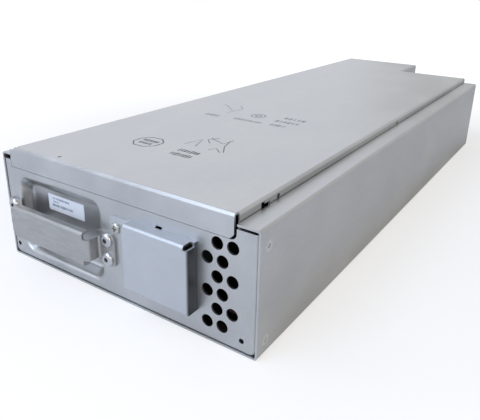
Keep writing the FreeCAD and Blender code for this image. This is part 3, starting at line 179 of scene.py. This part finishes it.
def galvanised(name, pale, dark, roughness=(0.34, 0.46), painted_side_shade=None):
    """Satin zinc; an optional dark colour paints shade on faces turned to +X and the bend above
    them.
    """
    material, tree, shader, place = new_material(name, Metallic=1.0)
    clouds = pattern(tree, place, CLOUD, "ShaderNodeTexNoise", Detail=3.0, Roughness=0.55)
    lines = pattern(tree, place, ROLLING_LINE, "ShaderNodeTexNoise", Detail=2.0)
    crystals = pattern(tree, place, SPANGLE, "ShaderNodeTexVoronoi", output=1)
    crystals = add_node(tree, "ShaderNodeRGBToBW", Color=crystals).outputs[0]
    tint = add_node(tree, "ShaderNodeValToRGB", between(colour(dark), colour(pale), 0.35, 0.65),
                    Fac=clouds).outputs[0]
    # Lines and crystals only darken, so the pale tint is the brightest the metal gets.
    for mask, darkest, start, end, share in ((lines, 0.55, 0.3, 0.7, LINE_SHARE),
                                             (crystals, 0.6, 0.0, 1.0, SPANGLE_SHARE)):
        worn = add_node(tree, "ShaderNodeValToRGB", between(grey(darkest), grey(1.0), start, end),
                        Fac=mask).outputs[0]
        tint = add_node(tree, "ShaderNodeMix", MULTIPLY, _0=share, _6=tint, _7=worn).outputs[2]
    # Painted shade: faces turned to +X and the bend above them are mixed towards a dark colour.
    if painted_side_shade:
        facing = add_node(tree, "ShaderNodeTexCoord").outputs["Normal"]
        turned = add_node(tree, "ShaderNodeVectorMath", {"operation": "DOT_PRODUCT"},
                          _0=facing, _1=PAINTED_SHADE_FACING).outputs["Value"]
        side = add_node(tree, "ShaderNodeMapRange", Value=turned, From_Min=PAINTED_SHADE_FROM,
                        From_Max=PAINTED_SHADE_TO).outputs[0]
        tint = add_node(tree, "ShaderNodeMix", {"data_type": "RGBA"},
                        _0=side, _6=tint, _7=colour(painted_side_shade)).outputs[2]
    satin = add_node(tree, "ShaderNodeValToRGB",
                     between(grey(roughness[0]), grey(roughness[1]), 0.3, 0.7),
                     Fac=clouds).outputs[0]
    relief = add_node(tree, "ShaderNodeBump", Height=lines, Strength=0.03, Distance=0.05 * MM)
    feed(tree, shader, Base_Color=tint, Roughness=satin, Normal=relief.outputs[0])
    return material


# Skin-passed zinc: a pale, cool grey that blurs the room to broad, soft gradients.
case_metal = galvanised("galvanised_case", "#C6C7C7", "#BBBCBD")
# Plated zinc, a touch bluer and duller: nearly even in front, with shade painted dark round its
# right fold.
cover_metal_and_side_shade = galvanised("zinc_cover_and_painted_side_shade", "#C8CBCF", "#C0C4C9", roughness=(0.44, 0.52),
                         painted_side_shade="#5E6264")
# Drawn aluminium, the smoothest metal here: each rivet head catches small bright glints.
rivet_metal = galvanised("rivet_aluminium", "#D2D3D4", "#C2C3C5", roughness=(0.24, 0.32))
# Phosphated steel where the stem broke, near black partly as painted shade from the bore: a dark
# spot that still glints a little.
stem_metal_and_bore_shade = galvanised("rivet_stem_and_bore_shade", "#4A4B4D", "#38393B", roughness=(0.4, 0.5))
print("sheet metals:", case_metal.name, cover_metal_and_side_shade.name, rivet_metal.name, stem_metal_and_bore_shade.name)

# %% [markdown]
# ## Brushed metal
# The handle is bent from an aluminium strip that was brushed along its length, which shows as fine
# light and dark lines across the grip. The shader could stretch its highlights with anisotropy,
# but under lamps as soft as these that hardly shows on a flat grip. So the lines are drawn, by
# noise that is long on X and short on Z.

# %% Brushed aluminium and its relatives
# Real brush strokes are about a tenth of a millimetre high, so these are drawn coarser, to show.
BRUSH_STROKE = (9, 2, 0.5)
WORN_PATCH = (18, 18, 9)
WEAR_SHARE = 0.15


def brushed(name, pale, dark, roughness=(0.28, 0.46)):
    """Metal with fine lines along X and soft darker patches where it is worn."""
    material, tree, shader, place = new_material(name, Metallic=1.0)
    lines = pattern(tree, place, BRUSH_STROKE, "ShaderNodeTexNoise", Detail=4.0, Roughness=0.7)
    patches = pattern(tree, place, WORN_PATCH, "ShaderNodeTexNoise", Detail=2.0)
    tint = add_node(tree, "ShaderNodeValToRGB", between(colour(dark), colour(pale), 0.3, 0.7),
                    Fac=lines).outputs[0]
    worn = add_node(tree, "ShaderNodeValToRGB", between(grey(0.6), grey(1.0), 0.3, 0.7),
                    Fac=patches).outputs[0]
    tint = add_node(tree, "ShaderNodeMix", MULTIPLY, _0=WEAR_SHARE, _6=tint, _7=worn).outputs[2]
    satin = add_node(tree, "ShaderNodeValToRGB", between(grey(roughness[0]), grey(roughness[1])),
                     Fac=lines).outputs[0]
    relief = add_node(tree, "ShaderNodeBump", Height=lines, Strength=0.15, Distance=0.1 * MM)
    feed(tree, shader, Base_Color=tint, Roughness=satin, Normal=relief.outputs[0])
    return material


# Brushed aluminium: warmer than the zinc, with lines that break every reflection up.
handle_metal = brushed("brushed_aluminium", "#BEBEBD", "#A4A4A3", roughness=(0.36, 0.48))
# Tumbled zinc plate: brighter and glossier, so the cross recess stands out by its dark walls.
screw_metal = brushed("zinc_screw", "#CFCFCB", "#AFAFAC", roughness=(0.2, 0.32))
# Tinned brass: a pale yellow that shows only in the bay behind the connector cover.
contact_metal = brushed("tinned_brass", "#CDBE8E", "#A8966A")
print("brushed metals:", handle_metal.name, screw_metal.name, contact_metal.name)

# %% [markdown]
# ## Plastics, foam and paper
# Inside are moulded battery cases, foam strips, insulating sheets and leads. Little of them shows
# through the vents, and one flat black would do for that view. Each still gets its own grain, so
# that the inside holds up with the cover off: a moulded case has a fine spark-eroded texture, foam
# has open cells, and paper has fibres.

# %% Moulded plastic, foam and paper
# The colour drifts over 30 mm. The grain widths below are one to three millimetres, coarser than
# real mould texture, pores and fibres, which would be too fine to show.
SHADE_DRIFT = (30, 30, 30)
GRAIN_ROUGHNESS = 0.08


def grained(name, pale, dark, grain, roughness, bump=0.2, sheen=0.0):
    """A soft or moulded surface whose grain is so many millimetres wide."""
    material, tree, shader, place = new_material(name, Sheen_Weight=sheen)
    texture = pattern(tree, place, (grain,) * 3, "ShaderNodeTexNoise", Detail=3.0)
    drift = pattern(tree, place, SHADE_DRIFT, "ShaderNodeTexNoise", Detail=2.0)
    tint = add_node(tree, "ShaderNodeValToRGB", between(colour(dark), colour(pale), 0.3, 0.7),
                    Fac=drift).outputs[0]
    dull = between(grey(roughness - GRAIN_ROUGHNESS), grey(roughness + GRAIN_ROUGHNESS))
    satin = add_node(tree, "ShaderNodeValToRGB", dull, Fac=texture).outputs[0]
    relief = add_node(tree, "ShaderNodeBump", Height=texture, Strength=bump, Distance=0.2 * MM)
    feed(tree, shader, Base_Color=tint, Roughness=satin, Normal=relief.outputs[0])
    return material


finishes = {
    "case_sheet": case_metal,
    "cover_sheet": cover_metal_and_side_shade,
    "handle_strip": handle_metal,
    "rivets": rivet_metal,
    "screws": screw_metal,
    "contacts": contact_metal,
    # Coated paper: a cool white, almost smooth.
    "label": grained("label_paper", "#F2F5FB", "#E8EDF6", 0.8, 0.45, bump=0.05),
    # Moulded ABS: charcoal with a fine matt texture.
    "battery_case": grained("battery_abs", "#2A2A2C", "#1E1E20", 1.0, 0.55),
    # Pressed fishpaper: near black and fibrous.
    "insulation": grained("fishpaper_sheet", "#1E1E1D", "#161615", 2.0, 0.6),
    # Open cell foam: dull grey with deep pores and a faint bloom at its edges.
    "foam": grained("open_cell_foam", "#3A3A3D", "#27272A", 1.5, 0.9, bump=0.8, sheen=0.2),
    # Glass filled nylon: a cool dark grey with a dry, slightly rough skin.
    "connector_housing": grained("glass_filled_nylon", "#3A3C40", "#303236", 1.2, 0.5),
    # Moulded phenolic: black and harder looking, with tighter highlights.
    "fuse_holder": grained("phenolic_fuse_holder", "#262626", "#1B1B1B", 1.0, 0.4),
    # Glazed ceramic: warm white and glossy.
    "fuse": grained("fuse_ceramic", "#E4E1D6", "#D6D2C4", 3.0, 0.3),
    # Extruded PVC: deep red or black with a waxy highlight along each lead.
    "lead_red": grained("red_lead_pvc", "#3A0E0B", "#2C0A08", 1.0, 0.4),
    "lead_black": grained("black_lead_pvc", "#161616", "#0E0E0E", 1.0, 0.4),
}
print("finishes:", len(finishes))

# %% [markdown]
# ## Giving each piece its finish
# The record that came with the model says which material slot each piece takes. Reading it beats a
# second list typed here, because a piece that is added in CAD then finds its own finish.

# %% Finishes onto the CAD pieces
slot_of = {part["node"]: part["material_slot"] for part in frame["record"]["subparts"]}
for name in nodes:
    for slot in bpy.data.objects[name].material_slots:
        slot.material = finishes[slot_of[name]]
print("dressed:", len(nodes), "pieces with", len(set(slot_of.values())), "kinds of finish")

# %% [markdown]
# ## Printing ink
# The cover carries faint printing. Ink could be painted into the cover's own material, but its
# edges would blur, so each mark is a thin flat shape just above the sheet, with the ink as its
# material. It is drawn 0.02 mm over the metal, about as thick as a film of screen ink is.

# %% Ink and its material
FILM = 0.02 * MM
INK_SPECK = (1.2, 1.2, 1.2)


def ink_material(name, dark, worn):
    """Screen printing ink: matt, and patchy where handling has thinned it."""
    material, tree, shader, place = new_material(name, Roughness=0.6, Metallic=0.4)
    wear = pattern(tree, place, INK_SPECK, "ShaderNodeTexNoise", Detail=3.0)
    tint = add_node(tree, "ShaderNodeValToRGB", between(colour(dark), colour(worn), 0.3, 0.75),
                    Fac=wear).outputs[0]
    feed(tree, shader, Base_Color=tint)
    return material


# Grey ink near the front, a thinner and paler print behind it, and bluish ink on the paper label.
cover_ink = ink_material("cover_ink", "#5C5C5E", "#8A8B8E")
faint_ink = ink_material("faint_cover_ink", "#85868A", "#A3A5A9")
label_ink = ink_material("label_ink", "#7F8B9C", "#A5B0BF")
print("inks:", cover_ink.name, faint_ink.name, label_ink.name)

# %% [markdown]
# ## A row of bars as a node tree
# Where a real case has small print, this one has rows of plain bars. Drawn one by one they would be
# dozens of shapes to keep in line. A Geometry Nodes tree spaces copies of one bar along a line, and
# the row's length, height, count and seed are inputs, so that one tree serves every row. It ends by
# turning the copies into real mesh and setting their material, because an export drops instances.

# %% The tree of one row
BAR_WIDTHS = (0.35, 0.85)
BAR_HEIGHTS = (0.7, 1.0)


def new_group(name, kinds):
    """A geometry tree with named inputs, and the identifiers a modifier knows them by."""
    tree = bpy.data.node_groups.new(name, "GeometryNodeTree")
    known_as = {}
    for label, kind in kinds.items():
        socket = tree.interface.new_socket(label, in_out="INPUT", socket_type="NodeSocket" + kind)
        known_as[label] = socket.identifier
    tree.interface.new_socket("Geometry", in_out="OUTPUT", socket_type="NodeSocketGeometry")
    return tree, known_as, add_node(tree, "NodeGroupInput").outputs


def end_group(tree, copies, material):
    """Turn copies into real mesh, set its material and hand it out."""
    solid = add_node(tree, "GeometryNodeRealizeInstances", Geometry=copies).outputs[0]
    dressed = add_node(tree, "GeometryNodeSetMaterial", Geometry=solid, Material=material)
    add_node(tree, "NodeGroupOutput", Geometry=dressed.outputs[0])


row_tree, row_inputs, given = new_group("bar_row", {
    "Row Length": "Float", "Row Height": "Float", "Bars": "Int", "Seed": "Int", "Ink": "Material"})
pitch = add_node(row_tree, "ShaderNodeMath", {"operation": "DIVIDE"},
                 _0=given["Row Length"], _1=given["Bars"]).outputs[0]
step = add_node(row_tree, "ShaderNodeCombineXYZ", X=pitch).outputs[0]
line = add_node(row_tree, "GeometryNodeMeshLine", {"mode": "OFFSET"},
                Count=given["Bars"], Offset=step).outputs[0]
bar = add_node(row_tree, "GeometryNodeMeshGrid", Size_X=pitch, Size_Y=given["Row Height"],
               Vertices_X=2, Vertices_Y=2).outputs[0]
width = add_node(row_tree, "FunctionNodeRandomValue", {"data_type": "FLOAT"},
                 _2=BAR_WIDTHS[0], _3=BAR_WIDTHS[1], Seed=given["Seed"]).outputs[1]
count_up = add_node(row_tree, "GeometryNodeInputIndex").outputs[0]
# The count of bars is a second fixed seed, so that heights don't follow widths.
height = add_node(row_tree, "FunctionNodeRandomValue", {"data_type": "FLOAT"},
                  _2=BAR_HEIGHTS[0], _3=BAR_HEIGHTS[1], ID=count_up,
                  Seed=given["Bars"]).outputs[1]
size = add_node(row_tree, "ShaderNodeCombineXYZ", X=width, Y=height, Z=1.0).outputs[0]
copies = add_node(row_tree, "GeometryNodeInstanceOnPoints", Points=line, Instance=bar,
                  Scale=size).outputs[0]
end_group(row_tree, copies, given["Ink"])
print(row_tree.name, "has", len(row_tree.nodes), "nodes and the inputs", list(row_inputs))

# %% [markdown]
# ## From a tree to a plain mesh
# A modifier could stay live on each row, but a finished piece has to be plain mesh, with its place
# in its points. So a carrier object runs the tree, the result is copied out, and the carrier goes.
# Inputs are set by identifier, before the first evaluation, because names need not be unique.

# %% Run a tree and keep the mesh
def grow(tree, known_as, values, matrix, start=None):
    """Run a tree on a carrier and return what it makes as a plain mesh, moved to its place."""
    carrier = bpy.data.objects.new("carrier", start or bpy.data.meshes.new("carrier"))
    bpy.context.scene.collection.objects.link(carrier)
    modifier = carrier.modifiers.new("grow", "NODES")
    modifier.node_group = tree
    for label, value in values.items():
        modifier[known_as[label]] = value
    evaluated = carrier.evaluated_get(bpy.context.evaluated_depsgraph_get())
    mesh = bpy.data.meshes.new_from_object(evaluated)
    bpy.data.objects.remove(carrier)
    mesh.transform(matrix)
    return mesh


def bar_row(length, height, bars, seed, ink, matrix):
    """One row of bars that starts at a place; its length and height are in millimetres."""
    values = {"Row Length": length * MM, "Row Height": height * MM, "Bars": bars, "Seed": seed,
              "Ink": ink}
    return grow(row_tree, row_inputs, values, matrix)


trial = bar_row(14, 4, 5, 3, cover_ink, Matrix())
print("a trial row has", len(trial.polygons), "bars")
bpy.data.meshes.remove(trial)

# %% [markdown]
# ## Bands and rings
# The other marks are outlines: a ring with eight sides, circles, and a few open strokes. A bevelled
# curve would give them a round section and many faces. Printing is flat, so a band is laid along
# the outline instead, with two points at each corner and one face for each run.

# %% Flat bands
STROKE_WIDTH = 0.8


def band(points, width, closed=True):
    """A flat band of even width along an outline in the XY plane, facing up."""
    spots = [Vector((x, y, 0)) for x, y in points]
    count = len(spots)
    verts = []
    for index, spot in enumerate(spots):
        before = spots[index - 1] if closed or index else spot
        after = spots[(index + 1) % count] if closed or index < count - 1 else spot
        along = (after - before).normalized()
        side = Vector((-along.y, along.x, 0)) * width / 2
        verts += [spot - side, spot + side]
    faces = []
    for index in range(count if closed else count - 1):
        a, b = 2 * index, 2 * ((index + 1) % count)
        faces.append((a, b, b + 1, a + 1))
    mesh = bpy.data.meshes.new("band")
    mesh.from_pydata(verts, [], faces)
    return mesh


def ring(x, y, across, sides, width, turn=0.0):
    """A closed ring with a number of sides about a centre, in millimetres."""
    points = []
    for index in range(sides):
        angle = turn + 2 * math.pi * index / sides
        points.append(((x + across / 2 * math.cos(angle)) * MM,
                       (y + across / 2 * math.sin(angle)) * MM))
    return band(points, width * MM)


def stroke(points):
    """An open band through points, in millimetres."""
    return band([(x * MM, y * MM) for x, y in points], STROKE_WIDTH * MM, closed=False)


trial = ring(0, 0, 22, 8, 1.1)
print("a ring with eight sides has", len(trial.polygons), "faces")
bpy.data.meshes.remove(trial)

# %% [markdown]
# ## Making a piece
# Several meshes become one piece, as one pass of ink is one thing on the real case. Joining objects
# with an operator depends on what is selected, so their meshes are gathered directly. A piece then
# says which body it rides on and which material slot it takes its finish from.

# %% Join meshes and let them ride
def keep_piece(name, meshes, material):
    """Join meshes into one piece that rides on the case."""
    joined = bmesh.new()
    for mesh in meshes:
        joined.from_mesh(mesh)
    result = bpy.data.meshes.new(name)
    joined.to_mesh(result)
    joined.free()
    result.materials.clear()
    result.materials.append(material)
    piece = bpy.data.objects.new(name, result)
    bpy.context.scene.collection.objects.link(piece)
    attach(piece, "root")
    print(name, len(result.polygons), "faces")


cover_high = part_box("top_cover")[1]
tray_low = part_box("chassis_tray")[0]
to_cover = Matrix.Translation((tray_low[0], tray_low[1], cover_high[2] + FILM))
print("print lies at a height of", round(cover_high[2] + FILM, 5), "m")

# %% [markdown]
# ## Marks on the cover
# Near the front are the darker marks: a ring with eight sides round two rows, strokes and two more
# rows. Behind them, two circles, paler rows and two long strokes. Each group is a table of numbers,
# measured in millimetres from the case's front left corner, so that a mark is moved by changing its
# row of the table and nothing else.

# %% The two groups of marks
def print_on_cover(name, ink, rings, rows, strokes):
    """Rings, rows of bars and strokes that lie on the cover as one piece."""
    outlines = [ring(*sizes) for sizes in rings]
    lines = [stroke(points) for points in strokes]
    for mesh in outlines + lines:
        mesh.transform(to_cover)
    bars = [bar_row(*sizes, ink, to_cover @ Matrix.Translation((x * MM, y * MM, 0)))
            for *sizes, x, y in rows]
    keep_piece(name, outlines + bars + lines, ink)


# Rings: centre X and Y, width, sides, width of the band and turn in radians.
# Rows: length, height, bars and seed, then X and Y of the first bar. Strokes: their points.
print_on_cover(
    "cover_marks", cover_ink,
    rings=[(74.4, 63.3, 22, 8, 1.1, math.pi / 8)],
    rows=[(14, 4, 5, 3, 69, 66), (12, 4, 4, 5, 70, 60),
          (18, 5.5, 7, 8, 103, 63), (18, 5.5, 8, 2, 103, 54.5)],
    strokes=[((97, 75.5), (101, 91), (106.5, 75)),
             ((110, 87), (104, 93), (108.5, 101)),
             ((104, 97.5), (118.5, 91), (120, 102)),
             ((118, 74.5), (121, 80), (128, 74)),
             ((119.5, 98), (123, 86.5), (130, 75.5))])
print_on_cover(
    "cover_marks_behind", faint_ink,
    rings=[(95.2, 174.5, 12, 24, 1.2), (95.2, 174.5, 5, 16, 1.6)],
    rows=[(14, 6, 6, 4, 57, 153.5), (26, 5, 14, 6, 84, 156), (14, 6, 6, 9, 118, 157.5),
          (22, 6, 6, 12, 116, 170), (20, 6, 5, 7, 118, 182)],
    strokes=[((48, 192), (54, 188), (66.5, 177)),
             ((63, 195.5), (71, 187), (67.5, 167))])

# %% [markdown]
# ## Bars on the label
# The small paper label in the hand recess gets three rows of plain bars in place of its print. It
# stands upright, so the same rows are turned up from the XY plane, and their places are shares of
# the label's width and height: they stay on it when its size changes.

# %% Bars on the label
label_low, label_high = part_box("recess_label")
UPRIGHT = Matrix.Rotation(math.radians(90), 4, "X")


def spot_on_label(across, up):
    """A place on the label as a share of its width and height."""
    x = label_low[0] + across * (label_high[0] - label_low[0])
    z = label_low[2] + up * (label_high[2] - label_low[2])
    return Matrix.Translation((x, label_low[1] - FILM, z)) @ UPRIGHT


label_rows = [bar_row(*sizes, label_ink, spot_on_label(across, up))
              for *sizes, across, up in ((17, 1.5, 11, 1, 0.14, 0.78),
                                         (6, 1.2, 5, 2, 0.14, 0.58),
                                         (21, 2.0, 15, 3, 0.12, 0.36))]
keep_piece("label_marks", label_rows, label_ink)

# %% [markdown]
# ## The end of a rivet's stem
# A blind rivet is set by pulling a steel stem until it snaps, and the broken end stays at the
# bottom of the bore. Its near black is partly the stem's own dark steel and partly painted shade
# from the bore. A dark patch of paint would look flat from the side, so the end is a shallow dome,
# two rings of points and a tip.

# %% One stem end
BORE_RADIUS = 1.5 * MM
STEM_SIDES = 24
# Each ring: its radius as a share of the bore's, and its height over the bottom.
STEM_RINGS = ((0.98, 0.0), (0.6, 0.2 * MM))
STEM_TIP = 0.25 * MM


def stem_end():
    """A shallow dome about the Z axis that faces up."""
    verts = []
    for share, rise in STEM_RINGS:
        for index in range(STEM_SIDES):
            angle = 2 * math.pi * index / STEM_SIDES
            radius = share * BORE_RADIUS
            verts.append((radius * math.cos(angle), radius * math.sin(angle), rise))
    verts.append((0, 0, STEM_TIP))
    faces = []
    for index in range(STEM_SIDES):
        after = (index + 1) % STEM_SIDES
        faces.append((index, after, STEM_SIDES + after, STEM_SIDES + index))
        faces.append((STEM_SIDES + index, STEM_SIDES + after, 2 * STEM_SIDES))
    mesh = bpy.data.meshes.new("stem_end")
    mesh.from_pydata(verts, [], faces)
    return mesh


one_stem = stem_end()
print("a stem end has", len(one_stem.polygons), "faces")

# %% [markdown]
# ## Four stems at the corners of a grid
# Two rivets hold each end of the handle, one above the other. The four places could be typed in,
# but then they would stay behind if the rivets moved. A grid of two by two points is as wide and as
# high as the rivets stand apart, and each point gets a copy of the stem end.

# %% Stem ends in the handle rivets
RIVET_PITCH = 12.9 * MM
BORE_DEPTH = 0.9 * MM
stem_tree, stem_inputs, given = new_group("stem_grid", {
    "Stem": "Geometry", "Across": "Float", "Pitch": "Float", "Metal": "Material"})
corners = add_node(stem_tree, "GeometryNodeMeshGrid", Size_X=given["Across"],
                   Size_Y=given["Pitch"], Vertices_X=2, Vertices_Y=2).outputs[0]
copies = add_node(stem_tree, "GeometryNodeInstanceOnPoints", Points=corners,
                  Instance=given["Stem"]).outputs[0]
end_group(stem_tree, copies, given["Metal"])

rivet_low, rivet_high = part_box("handle_rivets")
head_width = rivet_high[2] - rivet_low[2] - RIVET_PITCH
across = rivet_high[0] - rivet_low[0] - head_width
bores = Matrix.Translation(((rivet_low[0] + rivet_high[0]) / 2, rivet_low[1] + BORE_DEPTH - FILM,
                            (rivet_low[2] + rivet_high[2]) / 2))
spacing = {"Across": across, "Pitch": RIVET_PITCH, "Metal": stem_metal_and_bore_shade}
stems = grow(stem_tree, stem_inputs, spacing, bores @ UPRIGHT, start=one_stem)
keep_piece("rivet_stems", [stems], stem_metal_and_bore_shade)

# %% [markdown]
# ## Floor
# The object stands on white paper. A brighter lamp would bleach the paper and the metal with it, so
# the white comes from the paper's own material, and only for the camera: half of what it sees near
# the object is glow, which leaves the soft shadow, and further out all of it is.

# %% Floor
FLOOR_HALF = 3.0
FLOOR_DROP = 0.1 * MM
FADE_FROM, FADE_TO = 0.3, 0.62
GLOW_NEAR, GLOW_FAR = 0.5, 1.0
GLOW_STRENGTH = 1.15

floor_paper = bpy.data.materials.new("studio_floor")
tree = cleared(floor_paper)
paper = add_node(tree, "ShaderNodeBsdfDiffuse", Color=colour("#F4F4F4"))
glow = add_node(tree, "ShaderNodeEmission", Color=WHITE, Strength=GLOW_STRENGTH)
seen = add_node(tree, "ShaderNodeLightPath").outputs["Is Camera Ray"]
spot = add_node(tree, "ShaderNodeTexCoord").outputs["Object"]
away = add_node(tree, "ShaderNodeVectorMath", {"operation": "LENGTH"}, _0=spot).outputs["Value"]
fade = add_node(tree, "ShaderNodeMapRange", Value=away, From_Min=FADE_FROM, From_Max=FADE_TO,
                To_Min=GLOW_NEAR, To_Max=GLOW_FAR).outputs[0]
share = add_node(tree, "ShaderNodeMath", {"operation": "MULTIPLY"}, _0=seen, _1=fade).outputs[0]
mix = add_node(tree, "ShaderNodeMixShader", Fac=share, _1=paper.outputs[0], _2=glow.outputs[0])
add_node(tree, "ShaderNodeOutputMaterial", Surface=mix.outputs[0])

floor_mesh = bpy.data.meshes.new("floor")
floor_mesh.from_pydata([(x * FLOOR_HALF, y * FLOOR_HALF, 0)
                        for x, y in ((-1, -1), (1, -1), (1, 1), (-1, 1))], [], [(0, 1, 2, 3)])
floor = bpy.data.objects.new("floor", floor_mesh)
floor.data.materials.append(floor_paper)
# Just below zero, so that the paper and the case's underside are never in one plane.
floor.location.z = -FLOOR_DROP
bpy.context.scene.collection.objects.link(floor)
print("floor:", 2 * FLOOR_HALF, "m wide")

# %% [markdown]
# ## Surround
# The room is plain white to the camera. As light it would drown the lamps, so for all other rays it
# is dimmer, and the metal's reflections get a level between the two. That keeps satin zinc a clear
# step darker than the background, as sheet metal is in a white room.

# %% Surround
ROOM_LIGHT = 0.44
ROOM_MIRRORED = 0.73

world = bpy.data.worlds.new("surround")
bpy.context.scene.world = world
sky = cleared(world)
rays = add_node(sky, "ShaderNodeLightPath").outputs
mirrored = add_node(sky, "ShaderNodeMapRange", Value=rays["Is Glossy Ray"], To_Min=ROOM_LIGHT,
                    To_Max=ROOM_MIRRORED).outputs[0]
clear = add_node(sky, "ShaderNodeMath", {"operation": "MAXIMUM"},
                 _0=rays["Is Camera Ray"], _1=rays["Is Transmission Ray"]).outputs[0]
level = add_node(sky, "ShaderNodeMath", {"operation": "MAXIMUM"}, _0=mirrored, _1=clear).outputs[0]
room = add_node(sky, "ShaderNodeBackground", Color=WHITE, Strength=level)
add_node(sky, "ShaderNodeOutputWorld", Surface=room.outputs[0])
print("surround:", ROOM_LIGHT, "as light,", ROOM_MIRRORED, "in metal, 1 to the camera")

# %% [markdown]
# ## Lamps
# Satin metal shows its shape by gradients, and a small lamp gives it hard white spots instead. So
# all four lamps are wide rectangles. A cool key and front lamp light the top and the front, a large
# window behind on the left edges the cover, and a small warm fill keeps the right wall readable.

# %% Lamps
LAMPS = (
    # name, place, what it aims at, width, height, watts, colour
    ("key", (-0.5, -0.9, 1.4), (0, -0.3, 0), 1.2, 0.8, 10, "#CCDFFF"),
    ("window", (-2.0, 1.6, 1.5), (0, -0.1, 0.08), 3.6, 2.2, 11, "#E2ECFF"),
    ("front", (-0.5, -1.9, 0.55), (0, -0.3, 0.05), 1.2, 0.8, 12, "#D0E2FF"),
    ("fill", (1.0, -0.8, 0.6), (0.1, -0.25, 0), 1.0, 0.8, 4.2, "#FFF0DC"),
)
for name, place, aim, wide, high, watts, tint in LAMPS:
    lamp = bpy.data.lights.new(name, "AREA")
    lamp.shape = "RECTANGLE"
    lamp.size, lamp.size_y = wide, high
    lamp.energy = watts
    lamp.color = colour(tint)[:3]
    stand = bpy.data.objects.new(name, lamp)
    stand.location = place
    stand.rotation_euler = (Vector(aim) - Vector(place)).to_track_quat("-Z", "Y").to_euler()
    bpy.context.scene.collection.objects.link(stand)
    print("lamp", name, watts, "W", wide, "x", high, "m")

# %% [markdown]
# ## Camera
# A little above the case and to the right of its front, so that the front, the cover and the right
# wall all show. The camera could track a target, but a hand-held one also leans, so its three axes
# are built from two angles round the object and a small roll.

# %% Camera
CAMERA_PLACE = (0.221164, -0.477753, 0.190832)
azimuth, elevation, roll = (math.radians(angle) for angle in (32.559, 20.534, 1.606))

lens = bpy.data.cameras.new("camera")
lens.lens = 39.63
lens.shift_x, lens.shift_y = -0.0208, -0.0708
# Nearer than Blender's own 0.1 m, because the object is small.
lens.clip_start = 0.01
back = Vector((math.sin(azimuth) * math.cos(elevation),
               -math.cos(azimuth) * math.cos(elevation), math.sin(elevation)))
side = Vector((0, 0, 1)).cross(back).normalized()
top = back.cross(side)
x_axis = side * math.cos(roll) + top * math.sin(roll)
y_axis = top * math.cos(roll) - side * math.sin(roll)
turned = Matrix((x_axis, y_axis, back)).transposed().to_4x4()
camera = bpy.data.objects.new("camera", lens)
camera.matrix_world = Matrix.Translation(CAMERA_PLACE) @ turned
bpy.context.scene.collection.objects.link(camera)
bpy.context.scene.camera = camera
bpy.context.scene.view_settings.view_transform = "Standard"
print("camera:", round(lens.lens, 2), "mm lens at", CAMERA_PLACE)
